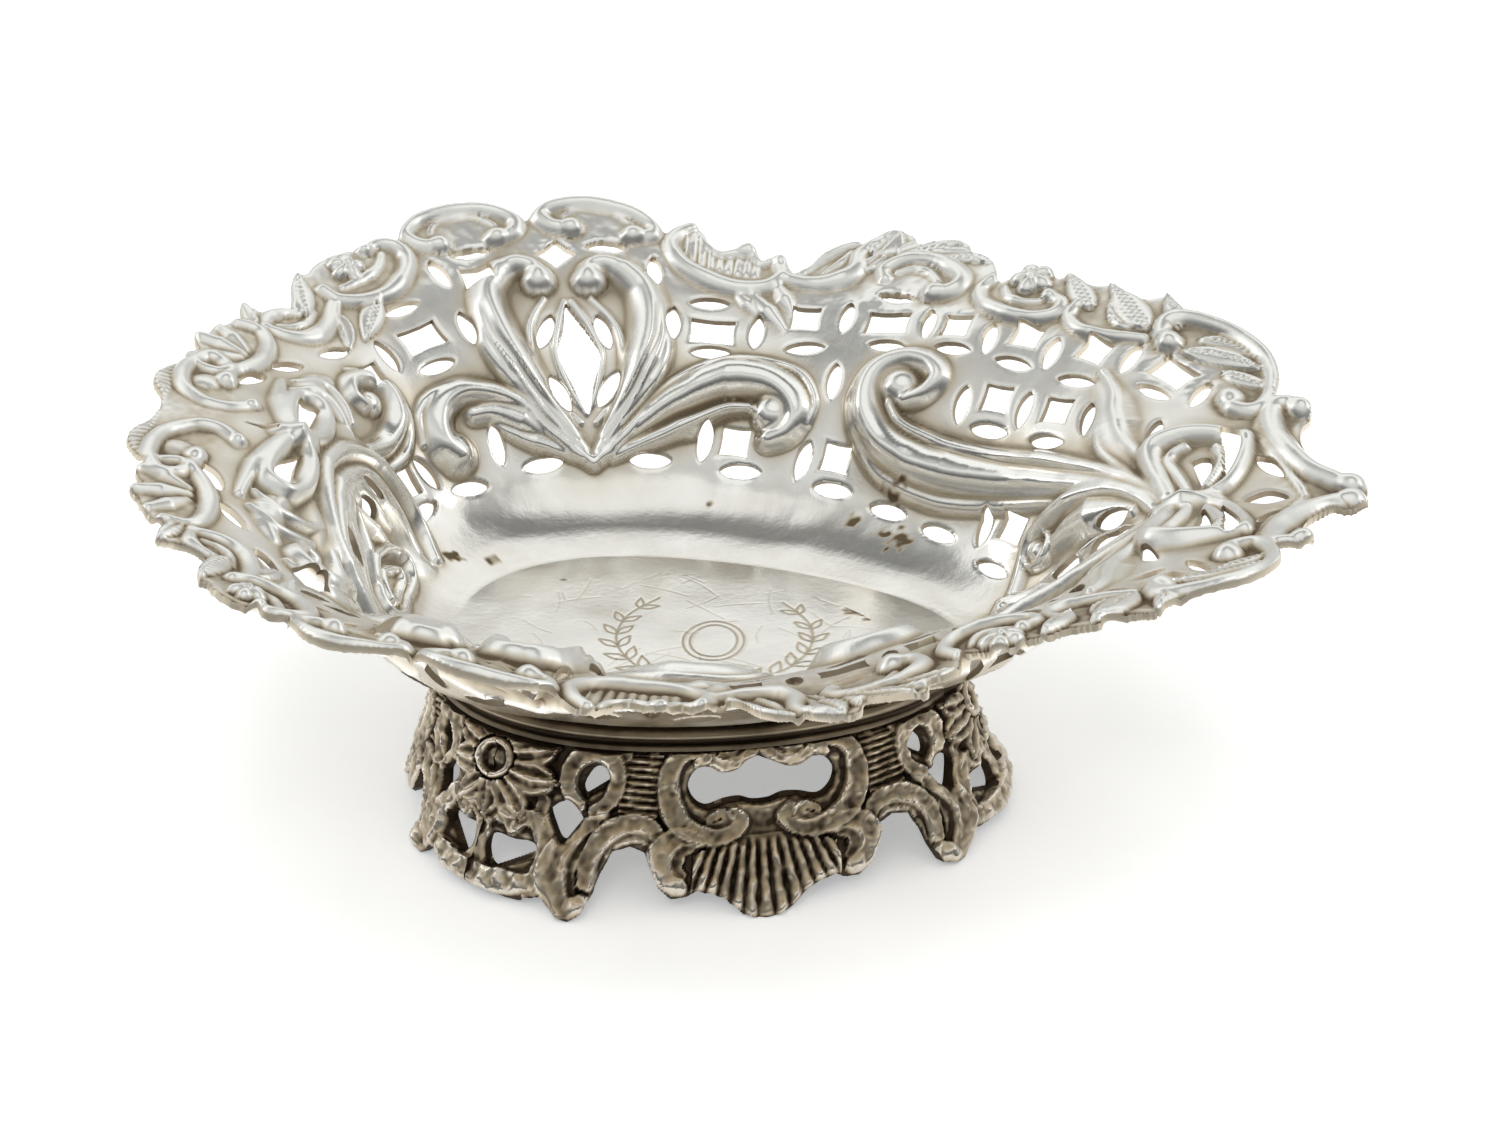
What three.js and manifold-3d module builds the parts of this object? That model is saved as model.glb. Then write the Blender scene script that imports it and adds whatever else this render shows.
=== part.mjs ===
// Footed bonbon dish in pierced silver: a heart-shaped sheet bowl with a scalloped rim,
// a moulded collar ring, and a flared foot of three pierced panels that meet at its corners.
// Millimetres, +Z up. The pointed end of the heart lies towards +X, the blunt end towards -X.
// The origin is on the ground, under the centre of the bowl's plan.
import * as THREE from 'three';
import { mergeVertices } from 'three/addons/utils/BufferGeometryUtils.js';
import Module from 'manifold-3d';

const wasm = await Module();
wasm.setup();

// Plans: each is an egg of two half ovals that meet at the widest place
const floorPlan = { backX: -44, widestX: -18, frontX: 29, halfWidth: 21.5, backPower: 2.2, frontPower: 1.8 };
const rimPlan = { backX: -88, widestX: -25, frontX: 87, halfWidth: 75, backPower: 2.4, frontPower: 1.75 };
// The collar stands proud of the floor's edge at the sides and the blunt end, and sits in under the tip
const collarSideMargin = 3.5;
const collarBackMargin = 3;
const collarTipMargin = -1;
const collarPlan = {
  backX: floorPlan.backX - collarBackMargin,
  widestX: -16,
  frontX: floorPlan.frontX + collarTipMargin,
  halfWidth: floorPlan.halfWidth + collarSideMargin,
  backPower: 2.2,
  frontPower: 1.9,
};
const groundPlan = { backX: -52, widestX: -20, frontX: 37, halfWidth: 41, backPower: 2.2, frontPower: 2 };

// Heights
const skirtTop = 19;
const floorHeight = 25.5;
const rimRise = 32.5;

// Sheet thicknesses: the bowl's normal to its surface, the skirt's measured level
const bowlGauge = 1;
const skirtGauge = 1.8;

// Piercings in the wall
const slotLength = 6;
const slotWidth = 2.2;
const windowSide = 4.6;
const wideWindowLength = 6.6;
const cutterReach = 3.5;

// Gap left between neighbouring panels at each corner of the foot
const seamGap = 0.3;

// Shares of the wall's reach (out) and rise (up), from the floor's edge to the rim's mean line
const sideProfileShares = [[0, 0], [0.14, 0.05], [0.26, 0.16], [0.385, 0.41], [0.52, 0.65], [0.72, 0.84], [1, 1]];
const endProfileShares = [[0, 0], [0.12, 0.04], [0.235, 0.18], [0.34, 0.52], [0.46, 0.79], [0.67, 0.92], [1, 1]];
const wallSpanShare = 0.6;
const backEndShare = 0.22;
const tipEndShare = 0.24;
const flareOutShare = 1.15;
const flareUpShare = 0.55;

// Shares of the rim's rise at equal steps along one half of the plan, from the blunt end to the tip
const rimRiseShares = [1.02, 0.994, 0.985, 0.99, 0.978, 0.871, 0.874, 0.972, 0.969, 0.908, 0.8];

// The -Y half was bent by hand: its reach changes by these shares at the same equal steps
const frontBendShares = [0, 0.015, -0.05, -0.09, -0.05, 0.05, 0.05, 0, 0, 0, 0];

// Scalloped edge of one half: share of the way round, then share of the wall's height
const rimEdgeShares = [
  [0, 0.965], [0.035, 1.012], [0.055, 0.975], [0.095, 0.97], [0.13, 0.92], [0.145, 0.955], [0.16, 0.885],
  [0.175, 0.872], [0.2, 0.95], [0.235, 0.965], [0.275, 0.945], [0.29, 0.995], [0.315, 1.03], [0.345, 1.005],
  [0.361, 0.96], [0.38, 1.01], [0.41, 1.033], [0.435, 1], [0.449, 0.965], [0.466, 1.015], [0.48, 0.94],
  [0.505, 0.955], [0.538, 0.905], [0.555, 1], [0.577, 1.05], [0.595, 1.105], [0.608, 1.06], [0.63, 1.09],
  [0.645, 1.04], [0.675, 0.95], [0.69, 1.015], [0.73, 1.005], [0.773, 1.045], [0.79, 1.02], [0.83, 1.035],
  [0.87, 1], [0.897, 0.935], [0.912, 0.97], [0.928, 0.925], [0.955, 0.9], [0.98, 0.935], [0.987, 0.982],
  [1, 0.985],
];
const wallRowShares = [0, 0.18, 0.31, 0.47, 0.65];
// Rows of the rim, as shares from where it starts to its edge, where the relief dies away
const rimStartShare = 0.72;
const rimRowShares = [0.36, 0.7, 1];
const rimEdgeRiseShare = 0.4;

// Places in one half of the wall: share of the way round, share of the height, then turn in degrees
const slotShares = [
  [0.072, 0.79, -25], [0.115, 0.745, -30], [0.17, 0.705, -12], [0.215, 0.64, 90], [0.25, 0.745, 5],
  [0.252, 0.57, 3], [0.291, 0.82, 98], [0.291, 0.65, 92], [0.318, 0.87, 0], [0.195, 0.335, 110],
  [0.168, 0.252, 8], [0.238, 0.262, -8], [0.282, 0.345, 92], [0.323, 0.28, 3], [0.352, 0.613, 68],
  [0.399, 0.613, 112], [0.353, 0.45, 115], [0.398, 0.462, 65], [0.41, 0.878, 8], [0.442, 0.82, 105],
  [0.483, 0.752, 12], [0.456, 0.67, 100], [0.487, 0.608, 12], [0.521, 0.69, 98], [0.562, 0.663, 12],
  [0.585, 0.775, 96], [0.595, 0.575, 97], [0.613, 0.862, -5], [0.648, 0.775, 100], [0.626, 0.695, -3],
  [0.68, 0.7, -3], [0.701, 0.75, 105], [0.733, 0.695, 0], [0.752, 0.755, 102], [0.788, 0.705, 12],
  [0.803, 0.82, 100], [0.844, 0.765, 4], [0.867, 0.825, 115], [0.89, 0.67, 128], [0.717, 0.55, 98],
  [0.77, 0.585, 100], [0.753, 0.505, 8], [0.812, 0.528, 14], [0.829, 0.62, 120], [0.488, 0.36, 88],
  [0.435, 0.29, 5], [0.526, 0.29, 3], [0.587, 0.343, 82], [0.625, 0.275, -3], [0.694, 0.243, -4],
  [0.762, 0.222, -5], [0.807, 0.275, 96], [0.855, 0.183, -3], [0.965, 0.82, 20], [0.965, 0.475, 60],
];
const windowShares = [
  [0.187, 0.605, -5], [0.315, 0.787, 0], [0.162, 0.333, 0], [0.375, 0.845, 45], [0.555, 0.755, 6],
  [0.67, 0.775, 5], [0.725, 0.785, 5], [0.777, 0.803, 0], [0.742, 0.59, 8], [0.797, 0.612, 14],
  [0.517, 0.37, 0], [0.619, 0.362, -4], [0.84, 0.298, 0],
];
const wideWindowShares = [[0.252, 0.652, 5], [0.487, 0.668, 8], [0.617, 0.77, 4], [0.835, 0.838, -3]];

// Larger piercings of one half, as corners: share of the way round, share of the height
const wallOpeningShares = [
  [[0.373, 0.665], [0.361, 0.545], [0.367, 0.47], [0.377, 0.41], [0.381, 0.47], [0.391, 0.545]],
  [[0.022, 0.6], [0.045, 0.64], [0.062, 0.655], [0.066, 0.6], [0.045, 0.588]],
  [[0.923, 0.77], [0.932, 0.8], [0.977, 0.725], [0.982, 0.705]],
  [[0.943, 0.685], [0.945, 0.722], [0.978, 0.685], [0.972, 0.662]],
];
// Piercings that cross the plan's axis, so their shares run past the tip or the blunt end
const axisOpeningShares = [
  [[1, 0.58], [0.99, 0.48], [0.972, 0.42], [1, 0.25], [1.028, 0.42], [1.01, 0.48]],
  [[1, 0.84], [0.991, 0.8], [1, 0.755], [1.009, 0.8]],
  [[0, 0.75], [-0.018, 0.71], [0, 0.67], [0.018, 0.71]],
  [[0, 0.45], [-0.02, 0.36], [0, 0.24], [0.02, 0.36]],
];

// Embossed relief of one half of the wall: points of each crest (share of the way round, share of the
// height), then its half width and its rise as shares of the named ones
const ridgeHalfWidth = 3;
const ridgeRise = 3;
const ridgeCrestShare = 0.5;
const ridgeEndShare = 0.65;
const ridgeRootShare = 0.8;
const rimScrollShares = [
  [[[0.055, 0.84], [0.074, 0.9], [0.05, 0.952], [0.022, 0.915], [0.014, 0.84], [0.026, 0.76]], 0.9, 0.5],
  [[[0.06, 0.93], [0.066, 0.85], [0.098, 0.8], [0.13, 0.85], [0.126, 0.92]], 0.9, 0.5],
  [[[0.098, 0.85], [0.091, 0.955]], 1.2, 0.4],
  [[[0.139, 0.87], [0.15, 0.795], [0.174, 0.768], [0.204, 0.825]], 0.9, 0.45],
  [[[0.205, 0.875], [0.213, 0.812], [0.238, 0.795], [0.264, 0.828], [0.276, 0.885], [0.262, 0.95]], 0.9, 0.55],
  [[[0.228, 0.9], [0.236, 0.916]], 1.1, 0.45],
  [[[0.301, 0.902], [0.283, 0.945], [0.295, 0.998], [0.318, 1.012], [0.341, 0.998], [0.354, 0.945],
    [0.34, 0.902]], 0.9, 0.5],
  [[[0.389, 0.922], [0.371, 0.96], [0.383, 1.003], [0.406, 1.017], [0.428, 1.005], [0.442, 0.955],
    [0.428, 0.92]], 0.9, 0.5],
  [[[0.466, 1], [0.453, 0.925], [0.464, 0.845], [0.5, 0.812], [0.526, 0.86], [0.526, 0.925]], 1, 0.6],
  [[[0.532, 0.878], [0.56, 0.88], [0.576, 0.945], [0.578, 1.035]], 1, 0.55],
  [[[0.584, 1], [0.593, 1.09]], 1.1, 0.4],
  [[[0.598, 1.01], [0.63, 1.08]], 1.1, 0.4],
  [[[0.638, 0.876], [0.65, 0.925], [0.635, 0.985], [0.61, 1], [0.594, 0.955]], 0.9, 0.55],
  [[[0.669, 0.96], [0.668, 0.895], [0.685, 0.842], [0.714, 0.835], [0.727, 0.9]], 0.9, 0.55],
  [[[0.69, 0.96], [0.699, 0.978]], 1.2, 0.45],
  [[[0.735, 0.92], [0.748, 0.85], [0.777, 0.858], [0.794, 0.888]], 0.9, 0.45],
  [[[0.746, 0.915], [0.711, 1]], 0.9, 0.4],
  [[[0.79, 0.915], [0.74, 1]], 1, 0.42],
  [[[0.803, 0.955], [0.773, 1.03]], 0.9, 0.4],
  [[[0.811, 0.902], [0.793, 0.955], [0.806, 1.007], [0.832, 1.02], [0.868, 0.995], [0.897, 0.918],
    [0.898, 0.848]], 0.95, 0.55],
  [[[0.914, 0.952], [0.908, 0.897], [0.94, 0.862], [0.975, 0.888], [0.993, 0.955]], 1, 0.6],
];
const wallRidgeShares = [
  [[[0.395, 0.31], [0.447, 0.467], [0.505, 0.58], [0.573, 0.555], [0.56, 0.46]], 1, 1],
  [[[0.35, 0.325], [0.31, 0.445], [0.24, 0.49], [0.225, 0.38]], 0.9, 0.9],
  [[[0.378, 0.31], [0.413, 0.46], [0.433, 0.65], [0.41, 0.79]], 1.4, 1],
  [[[0.372, 0.31], [0.337, 0.46], [0.317, 0.65], [0.34, 0.79]], 1.4, 1],
  [[[0.655, 0.56], [0.68, 0.61], [0.635, 0.61], [0.645, 0.455], [0.692, 0.382], [0.76, 0.378], [0.84, 0.43],
    [0.91, 0.5], [0.985, 0.595]], 1, 1.05],
  [[[0.975, 0.55], [0.906, 0.44], [0.885, 0.295], [0.916, 0.15]], 0.8, 0.75],
  [[[0.085, 0.485], [0.15, 0.445], [0.186, 0.54], [0.156, 0.612]], 0.75, 0.88],
  [[[0.012, 0.52], [0.093, 0.452], [0.138, 0.3], [0.13, 0.14]], 0.7, 0.8],
];

// The foot: corners and panel centres as shares of the way round from the blunt end
const cornerShare = 0.265;
const sidePanelCentreShare = 0.617;
const skirtBowShare = 0.1;
// Lower edge of half a panel: share from its centre to its corner, share of the skirt's height
const skirtEdgeShares = [
  [0, 1], [0.05, 1], [0.1, 0.91], [0.16, 0.85], [0.22, 0.82], [0.29, 0.84], [0.35, 0.79], [0.39, 0.7],
  [0.405, 0.61], [0.46, 0.58], [0.52, 0.61], [0.54, 0.72], [0.55, 0.88], [0.57, 1], [0.66, 1],
  [0.69, 0.95], [0.72, 0.88], [0.8, 0.92], [0.9, 0.935], [1, 0.935],
];
const skirtRowShares = [0, 0.17, 0.34, 0.51, 0.68, 0.84, 1];
const cartoucheShares = [
  [0, 0.06], [0.08, 0.1], [0.16, 0.1], [0.22, 0.1], [0.26, 0.2], [0.25, 0.3], [0.21, 0.355],
  [0.12, 0.345], [0, 0.345],
];
const scrollHoleShares = [[0.57, 0.21], [0.59, 0.12], [0.63, 0.11], [0.66, 0.21], [0.65, 0.3], [0.6, 0.31]];
const stemHoleShares = [[0.635, 0.45], [0.7, 0.34], [0.765, 0.4], [0.73, 0.52], [0.69, 0.59], [0.65, 0.54]];
const garlandHoleShares = [
  [0.78, 0.67], [0.8, 0.61], [0.88, 0.62], [0.955, 0.64], [0.965, 0.76], [0.92, 0.82], [0.86, 0.79],
];

// The collar's section: reach beyond the floor's edge as shares of its width, height as shares of its own
const collarShares = [
  [-0.45, 1], [0.7, 1], [0.75, 0.86], [0.45, 0.76], [0.5, 0.66], [0.95, 0.56], [1.1, 0.42],
  [0.95, 0.28], [0.75, 0.22], [1, 0.12], [1, 0], [-0.45, 0],
];
const collarSteps = 56;

const lookUpSteps = 720;
const profileSteps = 240;
const tangentStepShare = 0.002;

// A point of an egg plan, half a turn from the blunt end to the tip
function planPoint(plan, turn) {
  const angle = Math.PI * turn;
  const back = turn <= 0.5;
  const power = 2 / (back ? plan.backPower : plan.frontPower);
  const reach = back ? plan.backX - plan.widestX : plan.frontX - plan.widestX;
  const along = Math.abs(Math.cos(angle)) ** power;
  const across = Math.abs(Math.sin(angle)) ** power;
  return new THREE.Vector2(plan.widestX + reach * along, plan.halfWidth * across);
}

// Turns a share of a plan's half length into its turn, so that equal shares are equal lengths
function evenTurn(inner, outer, mix) {
  const lengths = [0];
  let last = planPoint(inner, 0).lerp(planPoint(outer, 0), mix);
  for (let i = 1; i <= lookUpSteps; i += 1) {
    const next = planPoint(inner, i / lookUpSteps).lerp(planPoint(outer, i / lookUpSteps), mix);
    lengths.push(lengths[i - 1] + next.distanceTo(last));
    last = next;
  }
  const total = lengths[lookUpSteps];
  return (share) => {
    const goal = THREE.MathUtils.clamp(share, 0, 1) * total;
    let low = 0;
    let high = lookUpSteps;
    while (high - low > 1) {
      const middle = (low + high) >> 1;
      if (lengths[middle] > goal) high = middle;
      else low = middle;
    }
    const part = (goal - lengths[low]) / (lengths[high] - lengths[low]);
    return (low + part) / lookUpSteps;
  };
}

// A share of the way round, past either end, as a share of one half and the side it lies on
function foldRound(around) {
  const wrapped = ((around % 2) + 2) % 2;
  return wrapped <= 1 ? { share: wrapped, side: 1 } : { share: 2 - wrapped, side: -1 };
}

// Reach and rise shares at equal lengths along a wall profile
function profileTable(points) {
  const curve = new THREE.SplineCurve(points.map(([out, up]) => new THREE.Vector2(out, up)));
  const span = (rimPlan.halfWidth - floorPlan.halfWidth) * 0.9;
  const samples = curve.getPoints(profileSteps);
  const lengths = [0];
  for (let i = 1; i < samples.length; i += 1) {
    const out = (samples[i].x - samples[i - 1].x) * span;
    const up = (samples[i].y - samples[i - 1].y) * rimRise;
    lengths.push(lengths[i - 1] + Math.hypot(out, up));
  }
  const total = lengths[lengths.length - 1];
  return (share) => {
    const goal = THREE.MathUtils.clamp(share, 0, 1) * total;
    let i = 1;
    while (i < lengths.length - 1 && lengths[i] < goal) i += 1;
    const part = (goal - lengths[i - 1]) / (lengths[i] - lengths[i - 1]);
    return samples[i - 1].clone().lerp(samples[i], part);
  };
}

const wallTurn = evenTurn(floorPlan, rimPlan, wallSpanShare);
const skirtTurn = evenTurn(collarPlan, groundPlan, 0.5);
const sideProfile = profileTable(sideProfileShares);
const endProfile = profileTable(endProfileShares);
const rimRises = new THREE.SplineCurve(rimRiseShares.map((rise, i) => new THREE.Vector2(i, rise)));
const frontBends = new THREE.SplineCurve(frontBendShares.map((bend, i) => new THREE.Vector2(i, bend)));

// A point of the bowl's upper face: around is 0 to 1 on the +Y half, 1 to 2 back on the -Y half
function wallPoint(around, height) {
  const { share, side } = foldRound(around);
  const turn = wallTurn(share);
  const inner = planPoint(floorPlan, turn);
  const outer = planPoint(rimPlan, turn);
  const back = THREE.MathUtils.smoothstep(backEndShare - share, 0, backEndShare);
  const tip = THREE.MathUtils.smoothstep(share - 1 + tipEndShare, 0, tipEndShare);
  const profile = sideProfile(height).lerp(endProfile(height), back + tip);
  const past = Math.max(height - 1, 0);
  const bend = side < 0 ? frontBends.getPoint(share).y : 0;
  const plan = inner.lerp(outer, profile.x * (1 + bend * profile.x) + past * flareOutShare);
  const rise = rimRise * rimRises.getPoint(share).y * (profile.y + past * flareUpShare);
  return new THREE.Vector3(plan.x, plan.y * side, floorHeight + rise);
}

// A point of the skirt's outer face, from its level top edge (0) to the ground (1)
function skirtPoint(around, depth) {
  const { share, side } = foldRound(around);
  const turn = skirtTurn(share);
  const flare = depth - skirtBowShare * Math.sin(Math.PI * depth);
  const plan = planPoint(collarPlan, turn).lerp(planPoint(groundPlan, turn), flare);
  return new THREE.Vector3(plan.x, plan.y * side, skirtTop * (1 - depth));
}

// Unit vectors of a surface at a place: along it, up it, and out of it
function surfaceFrame(point, around, height) {
  const along = point(around + tangentStepShare, height).sub(point(around - tangentStepShare, height)).normalize();
  const up = point(around, height + tangentStepShare).sub(point(around, Math.max(height - tangentStepShare, 0)));
  const out = new THREE.Vector3().crossVectors(up, along).normalize();
  return { along, up: new THREE.Vector3().crossVectors(along, out).normalize(), out };
}

// A closed sheet between an outer and an inner grid of points; the grid's columns may close on themselves
function sheetGeometry(outer, inner, closed) {
  const columns = outer.length;
  const rows = outer[0].length;
  const points = [...outer.flat(), ...inner.flat()];
  const faces = [];
  const quad = (a, b, c, d) => faces.push(a, b, c, a, c, d);
  const half = columns * rows;
  const at = (column, row) => (column % columns) * rows + row;
  const steps = closed ? columns : columns - 1;
  for (let i = 0; i < steps; i += 1) {
    for (let j = 0; j < rows - 1; j += 1) {
      quad(at(i, j), at(i + 1, j), at(i + 1, j + 1), at(i, j + 1));
      quad(half + at(i, j), half + at(i, j + 1), half + at(i + 1, j + 1), half + at(i + 1, j));
    }
    const last = rows - 1;
    quad(at(i, last), at(i + 1, last), half + at(i + 1, last), half + at(i, last));
    quad(at(i, 0), half + at(i, 0), half + at(i + 1, 0), at(i + 1, 0));
  }
  if (!closed) {
    for (let j = 0; j < rows - 1; j += 1) {
      quad(at(0, j), at(0, j + 1), half + at(0, j + 1), half + at(0, j));
      const end = columns - 1;
      quad(at(end, j), half + at(end, j), half + at(end, j + 1), at(end, j + 1));
    }
  }
  return indexedGeometry(points, faces);
}

function indexedGeometry(points, faces) {
  const geometry = new THREE.BufferGeometry();
  geometry.setAttribute('position', new THREE.Float32BufferAttribute(points.flatMap((p) => [p.x, p.y, p.z]), 3));
  geometry.setIndex(faces);
  return geometry;
}

function solidFrom(geometry) {
  const bare = geometry.clone();
  bare.deleteAttribute('normal');
  bare.deleteAttribute('uv');
  const merged = mergeVertices(bare);
  return new wasm.Manifold(new wasm.Mesh({
    numProp: 3,
    vertProperties: new Float32Array(merged.attributes.position.array),
    triVerts: new Uint32Array(merged.index.array),
  }));
}

function geometryFrom(solid) {
  const { vertProperties, triVerts } = solid.getMesh();
  const geometry = new THREE.BufferGeometry();
  geometry.setAttribute('position', new THREE.Float32BufferAttribute(vertProperties, 3));
  geometry.setIndex(Array.from(triVerts));
  geometry.computeVertexNormals();
  return geometry;
}

// A prism of a flat outline, set square to a surface and reaching through it
function prism(outline, frame, place) {
  const shape = new THREE.Shape(outline);
  const geometry = new THREE.ExtrudeGeometry(shape, { depth: 2 * cutterReach, bevelEnabled: false });
  geometry.translate(0, 0, -cutterReach);
  const through = new THREE.Vector3().crossVectors(frame.along, frame.up);
  const basis = new THREE.Matrix4().makeBasis(frame.along, frame.up, through).setPosition(place);
  return solidFrom(geometry.applyMatrix4(basis));
}

// A piercing given as corners on a surface, projected onto the plane at their middle
function cornerPrism(point, corners, frameOf) {
  const middle = corners.reduce((sum, [around, height]) => [sum[0] + around, sum[1] + height], [0, 0]);
  const [around, height] = middle.map((value) => value / corners.length);
  const frame = frameOf(point, around, height);
  const place = point(around, height);
  const outline = corners.map(([a, h]) => {
    const offset = point(a, h).sub(place);
    return new THREE.Vector2(offset.dot(frame.along), offset.dot(frame.up));
  });
  return prism(outline, frame, place);
}

// A pointed slot or a window, turned in the surface
function turnedOutline(shares, length, width, degrees) {
  const turn = THREE.MathUtils.degToRad(degrees);
  const centre = new THREE.Vector2(0, 0);
  return shares.map(([x, y]) => new THREE.Vector2(x * length, y * width).rotateAround(centre, turn));
}
const slotOutlineShares = [[-0.5, 0], [-0.22, -0.43], [0.22, -0.43], [0.5, 0], [0.22, 0.43], [-0.22, 0.43]];
const windowOutlineShares = [[-0.5, -0.5], [0.5, -0.5], [0.5, 0.5], [-0.5, 0.5]];

function wallPrisms() {
  const kinds = [
    [slotShares, slotOutlineShares, slotLength, slotWidth],
    [windowShares, windowOutlineShares, windowSide, windowSide],
    [wideWindowShares, windowOutlineShares, wideWindowLength, windowSide],
  ];
  const prisms = [];
  for (const side of [1, -1]) {
    for (const [places, outline, length, width] of kinds) {
      for (const [around, height, degrees] of places) {
        const frame = surfaceFrame(wallPoint, side * around, height);
        const turned = turnedOutline(outline, length, width, side * degrees);
        prisms.push(prism(turned, frame, wallPoint(side * around, height)));
      }
    }
    for (const corners of wallOpeningShares) {
      prisms.push(cornerPrism(wallPoint, corners.map(([a, h]) => [side * a, h]), surfaceFrame));
    }
  }
  for (const corners of axisOpeningShares) prisms.push(cornerPrism(wallPoint, corners, surfaceFrame));
  return prisms;
}

// Crest lines of the rim's scrolls on both halves
function rimScrolls() {
  return [1, -1].flatMap((side) => rimScrollShares.map(([places, width, rise]) => {
    const crest = places.map(([around, height]) => wallPoint(side * around, height));
    return { crest, halfWidth: ridgeHalfWidth * width, rise: ridgeRise * rise };
  }));
}

// Height of the highest scroll at a place: a parabola across each crest line
function scrollHeight(place, scrolls) {
  const nearest = new THREE.Vector3();
  const heights = scrolls.flatMap(({ crest, halfWidth, rise }) => crest.slice(1).map((point, i) => {
    const gap = new THREE.Line3(crest[i], point).closestPointToPoint(place, true, nearest).distanceTo(place);
    return rise * (1 - (gap / halfWidth) ** 2);
  }));
  return Math.max(0, ...heights);
}

// An embossed ridge: a flat-topped section along its crest line, rooted inside the sheet
function ridgeSolid(places, widthShare, riseShare, side) {
  const crest = places.map(([around, height]) => [side * around, height]);
  const last = crest.length - 1;
  const rings = crest.map(([around, height], i) => {
    const frame = surfaceFrame(wallPoint, around, height);
    const [before, after] = [crest[Math.max(i - 1, 0)], crest[Math.min(i + 1, last)]];
    const heading = wallPoint(...after).sub(wallPoint(...before));
    const level = new THREE.Vector2(-heading.dot(frame.up), heading.dot(frame.along)).normalize();
    const end = i === 0 || i === last ? ridgeEndShare : 1;
    const halfWidth = ridgeHalfWidth * widthShare * end;
    const rise = ridgeRise * riseShare * end;
    const perAround = wallPoint(around + tangentStepShare, height).distanceTo(wallPoint(around, height));
    const perHeight = wallPoint(around, height + tangentStepShare).distanceTo(wallPoint(around, height));
    const section = [[0, 0], [1, 0], [ridgeCrestShare, 1], [-ridgeCrestShare, 1], [-1, 0]];
    return section.map(([across, top]) => {
      const offset = level.clone().multiplyScalar(across * halfWidth * tangentStepShare);
      const [a, h] = [around + offset.x / perAround, height + offset.y / perHeight];
      const { out } = surfaceFrame(wallPoint, a, h);
      return wallPoint(a, h).addScaledVector(out, top ? -rise : bowlGauge * ridgeRootShare);
    });
  });
  const sides = rings[0].length;
  const faces = [];
  for (let i = 0; i < last; i += 1) {
    for (let j = 0; j < sides; j += 1) {
      const after = (j + 1) % sides;
      const [a, b] = [i * sides + j, i * sides + after];
      const [c, d] = [(i + 1) * sides + after, (i + 1) * sides + j];
      faces.push(a, b, c, a, c, d);
    }
  }
  for (let j = 1; j < sides - 1; j += 1) {
    faces.push(0, j + 1, j);
    faces.push(last * sides, last * sides + j, last * sides + j + 1);
  }
  return solidFrom(indexedGeometry(rings.flat(), faces));
}

// The bowl's sheet: the rim has a column for each edge place, and the wall below it one for every other.
// The rim's scrolls raise both skins alike, and the wall's ridges stand on the upper one.
function bowlGeometry() {
  const half = rimEdgeShares;
  const rest = half.slice(1, -1).reverse().map(([around, height]) => [2 - around, height]);
  const edge = [...half, ...rest];
  const columns = edge.filter((place, i) => i % 2 === 0);
  const scrolls = rimScrolls();
  const border = rimRowShares.map((row) => edge.map(([around, height]) => {
    const place = [around, THREE.MathUtils.lerp(rimStartShare, height, row)];
    const rise = scrollHeight(wallPoint(...place), scrolls);
    return [...place, row === 1 ? rise * rimEdgeRiseShare : rise];
  }));
  const skin = (depth) => {
    const point = (around, height, rise = 0) => {
      if (height === 0) return wallPoint(around, 0).setZ(floorHeight - depth);
      return wallPoint(around, height).addScaledVector(surfaceFrame(wallPoint, around, height).out, depth - rise);
    };
    return [
      ...columns.flatMap(([around]) => wallRowShares.map((row) => point(around, row))),
      ...border.flatMap((row) => row.map((place) => point(...place))),
      new THREE.Vector3(floorPlan.widestX, 0, floorHeight - depth),
    ];
  };
  const points = [...skin(0), ...skin(bowlGauge)];
  const rows = wallRowShares.length;
  const count = columns.length;
  const below = points.length / 2;
  const faces = [];
  const both = (a, b, c) => faces.push(a, b, c, below + a, below + c, below + b);
  const at = (column, row) => (column % count) * rows + row;
  const rim = (row, i) => count * rows + row * edge.length + (i % edge.length);
  for (let i = 0; i < count; i += 1) {
    for (let j = 0; j < rows - 1; j += 1) {
      both(at(i, j), at(i + 1, j), at(i + 1, j + 1));
      both(at(i, j), at(i + 1, j + 1), at(i, j + 1));
    }
    const [start, middle, end] = [rim(0, 2 * i), rim(0, 2 * i + 1), rim(0, 2 * i + 2)];
    both(at(i, rows - 1), middle, start);
    both(at(i, rows - 1), at(i + 1, rows - 1), middle);
    both(at(i + 1, rows - 1), end, middle);
    both(below - 1, at(i + 1, 0), at(i, 0));
  }
  const top = rimRowShares.length - 1;
  for (let i = 0; i < edge.length; i += 1) {
    for (let j = 0; j < top; j += 1) {
      both(rim(j, i), rim(j, i + 1), rim(j + 1, i + 1));
      both(rim(j, i), rim(j + 1, i + 1), rim(j + 1, i));
    }
    const [a, b] = [rim(top, i), rim(top, i + 1)];
    faces.push(a, b, below + b, a, below + b, below + a);
  }
  const ridges = [1, -1].flatMap((side) => (
    wallRidgeShares.map(([places, width, rise]) => ridgeSolid(places, width, rise, side))
  ));
  const sheet = wasm.Manifold.union([solidFrom(indexedGeometry(points, faces)), ...ridges]);
  return geometryFrom(sheet.subtract(wasm.Manifold.union(wallPrisms())));
}

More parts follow.
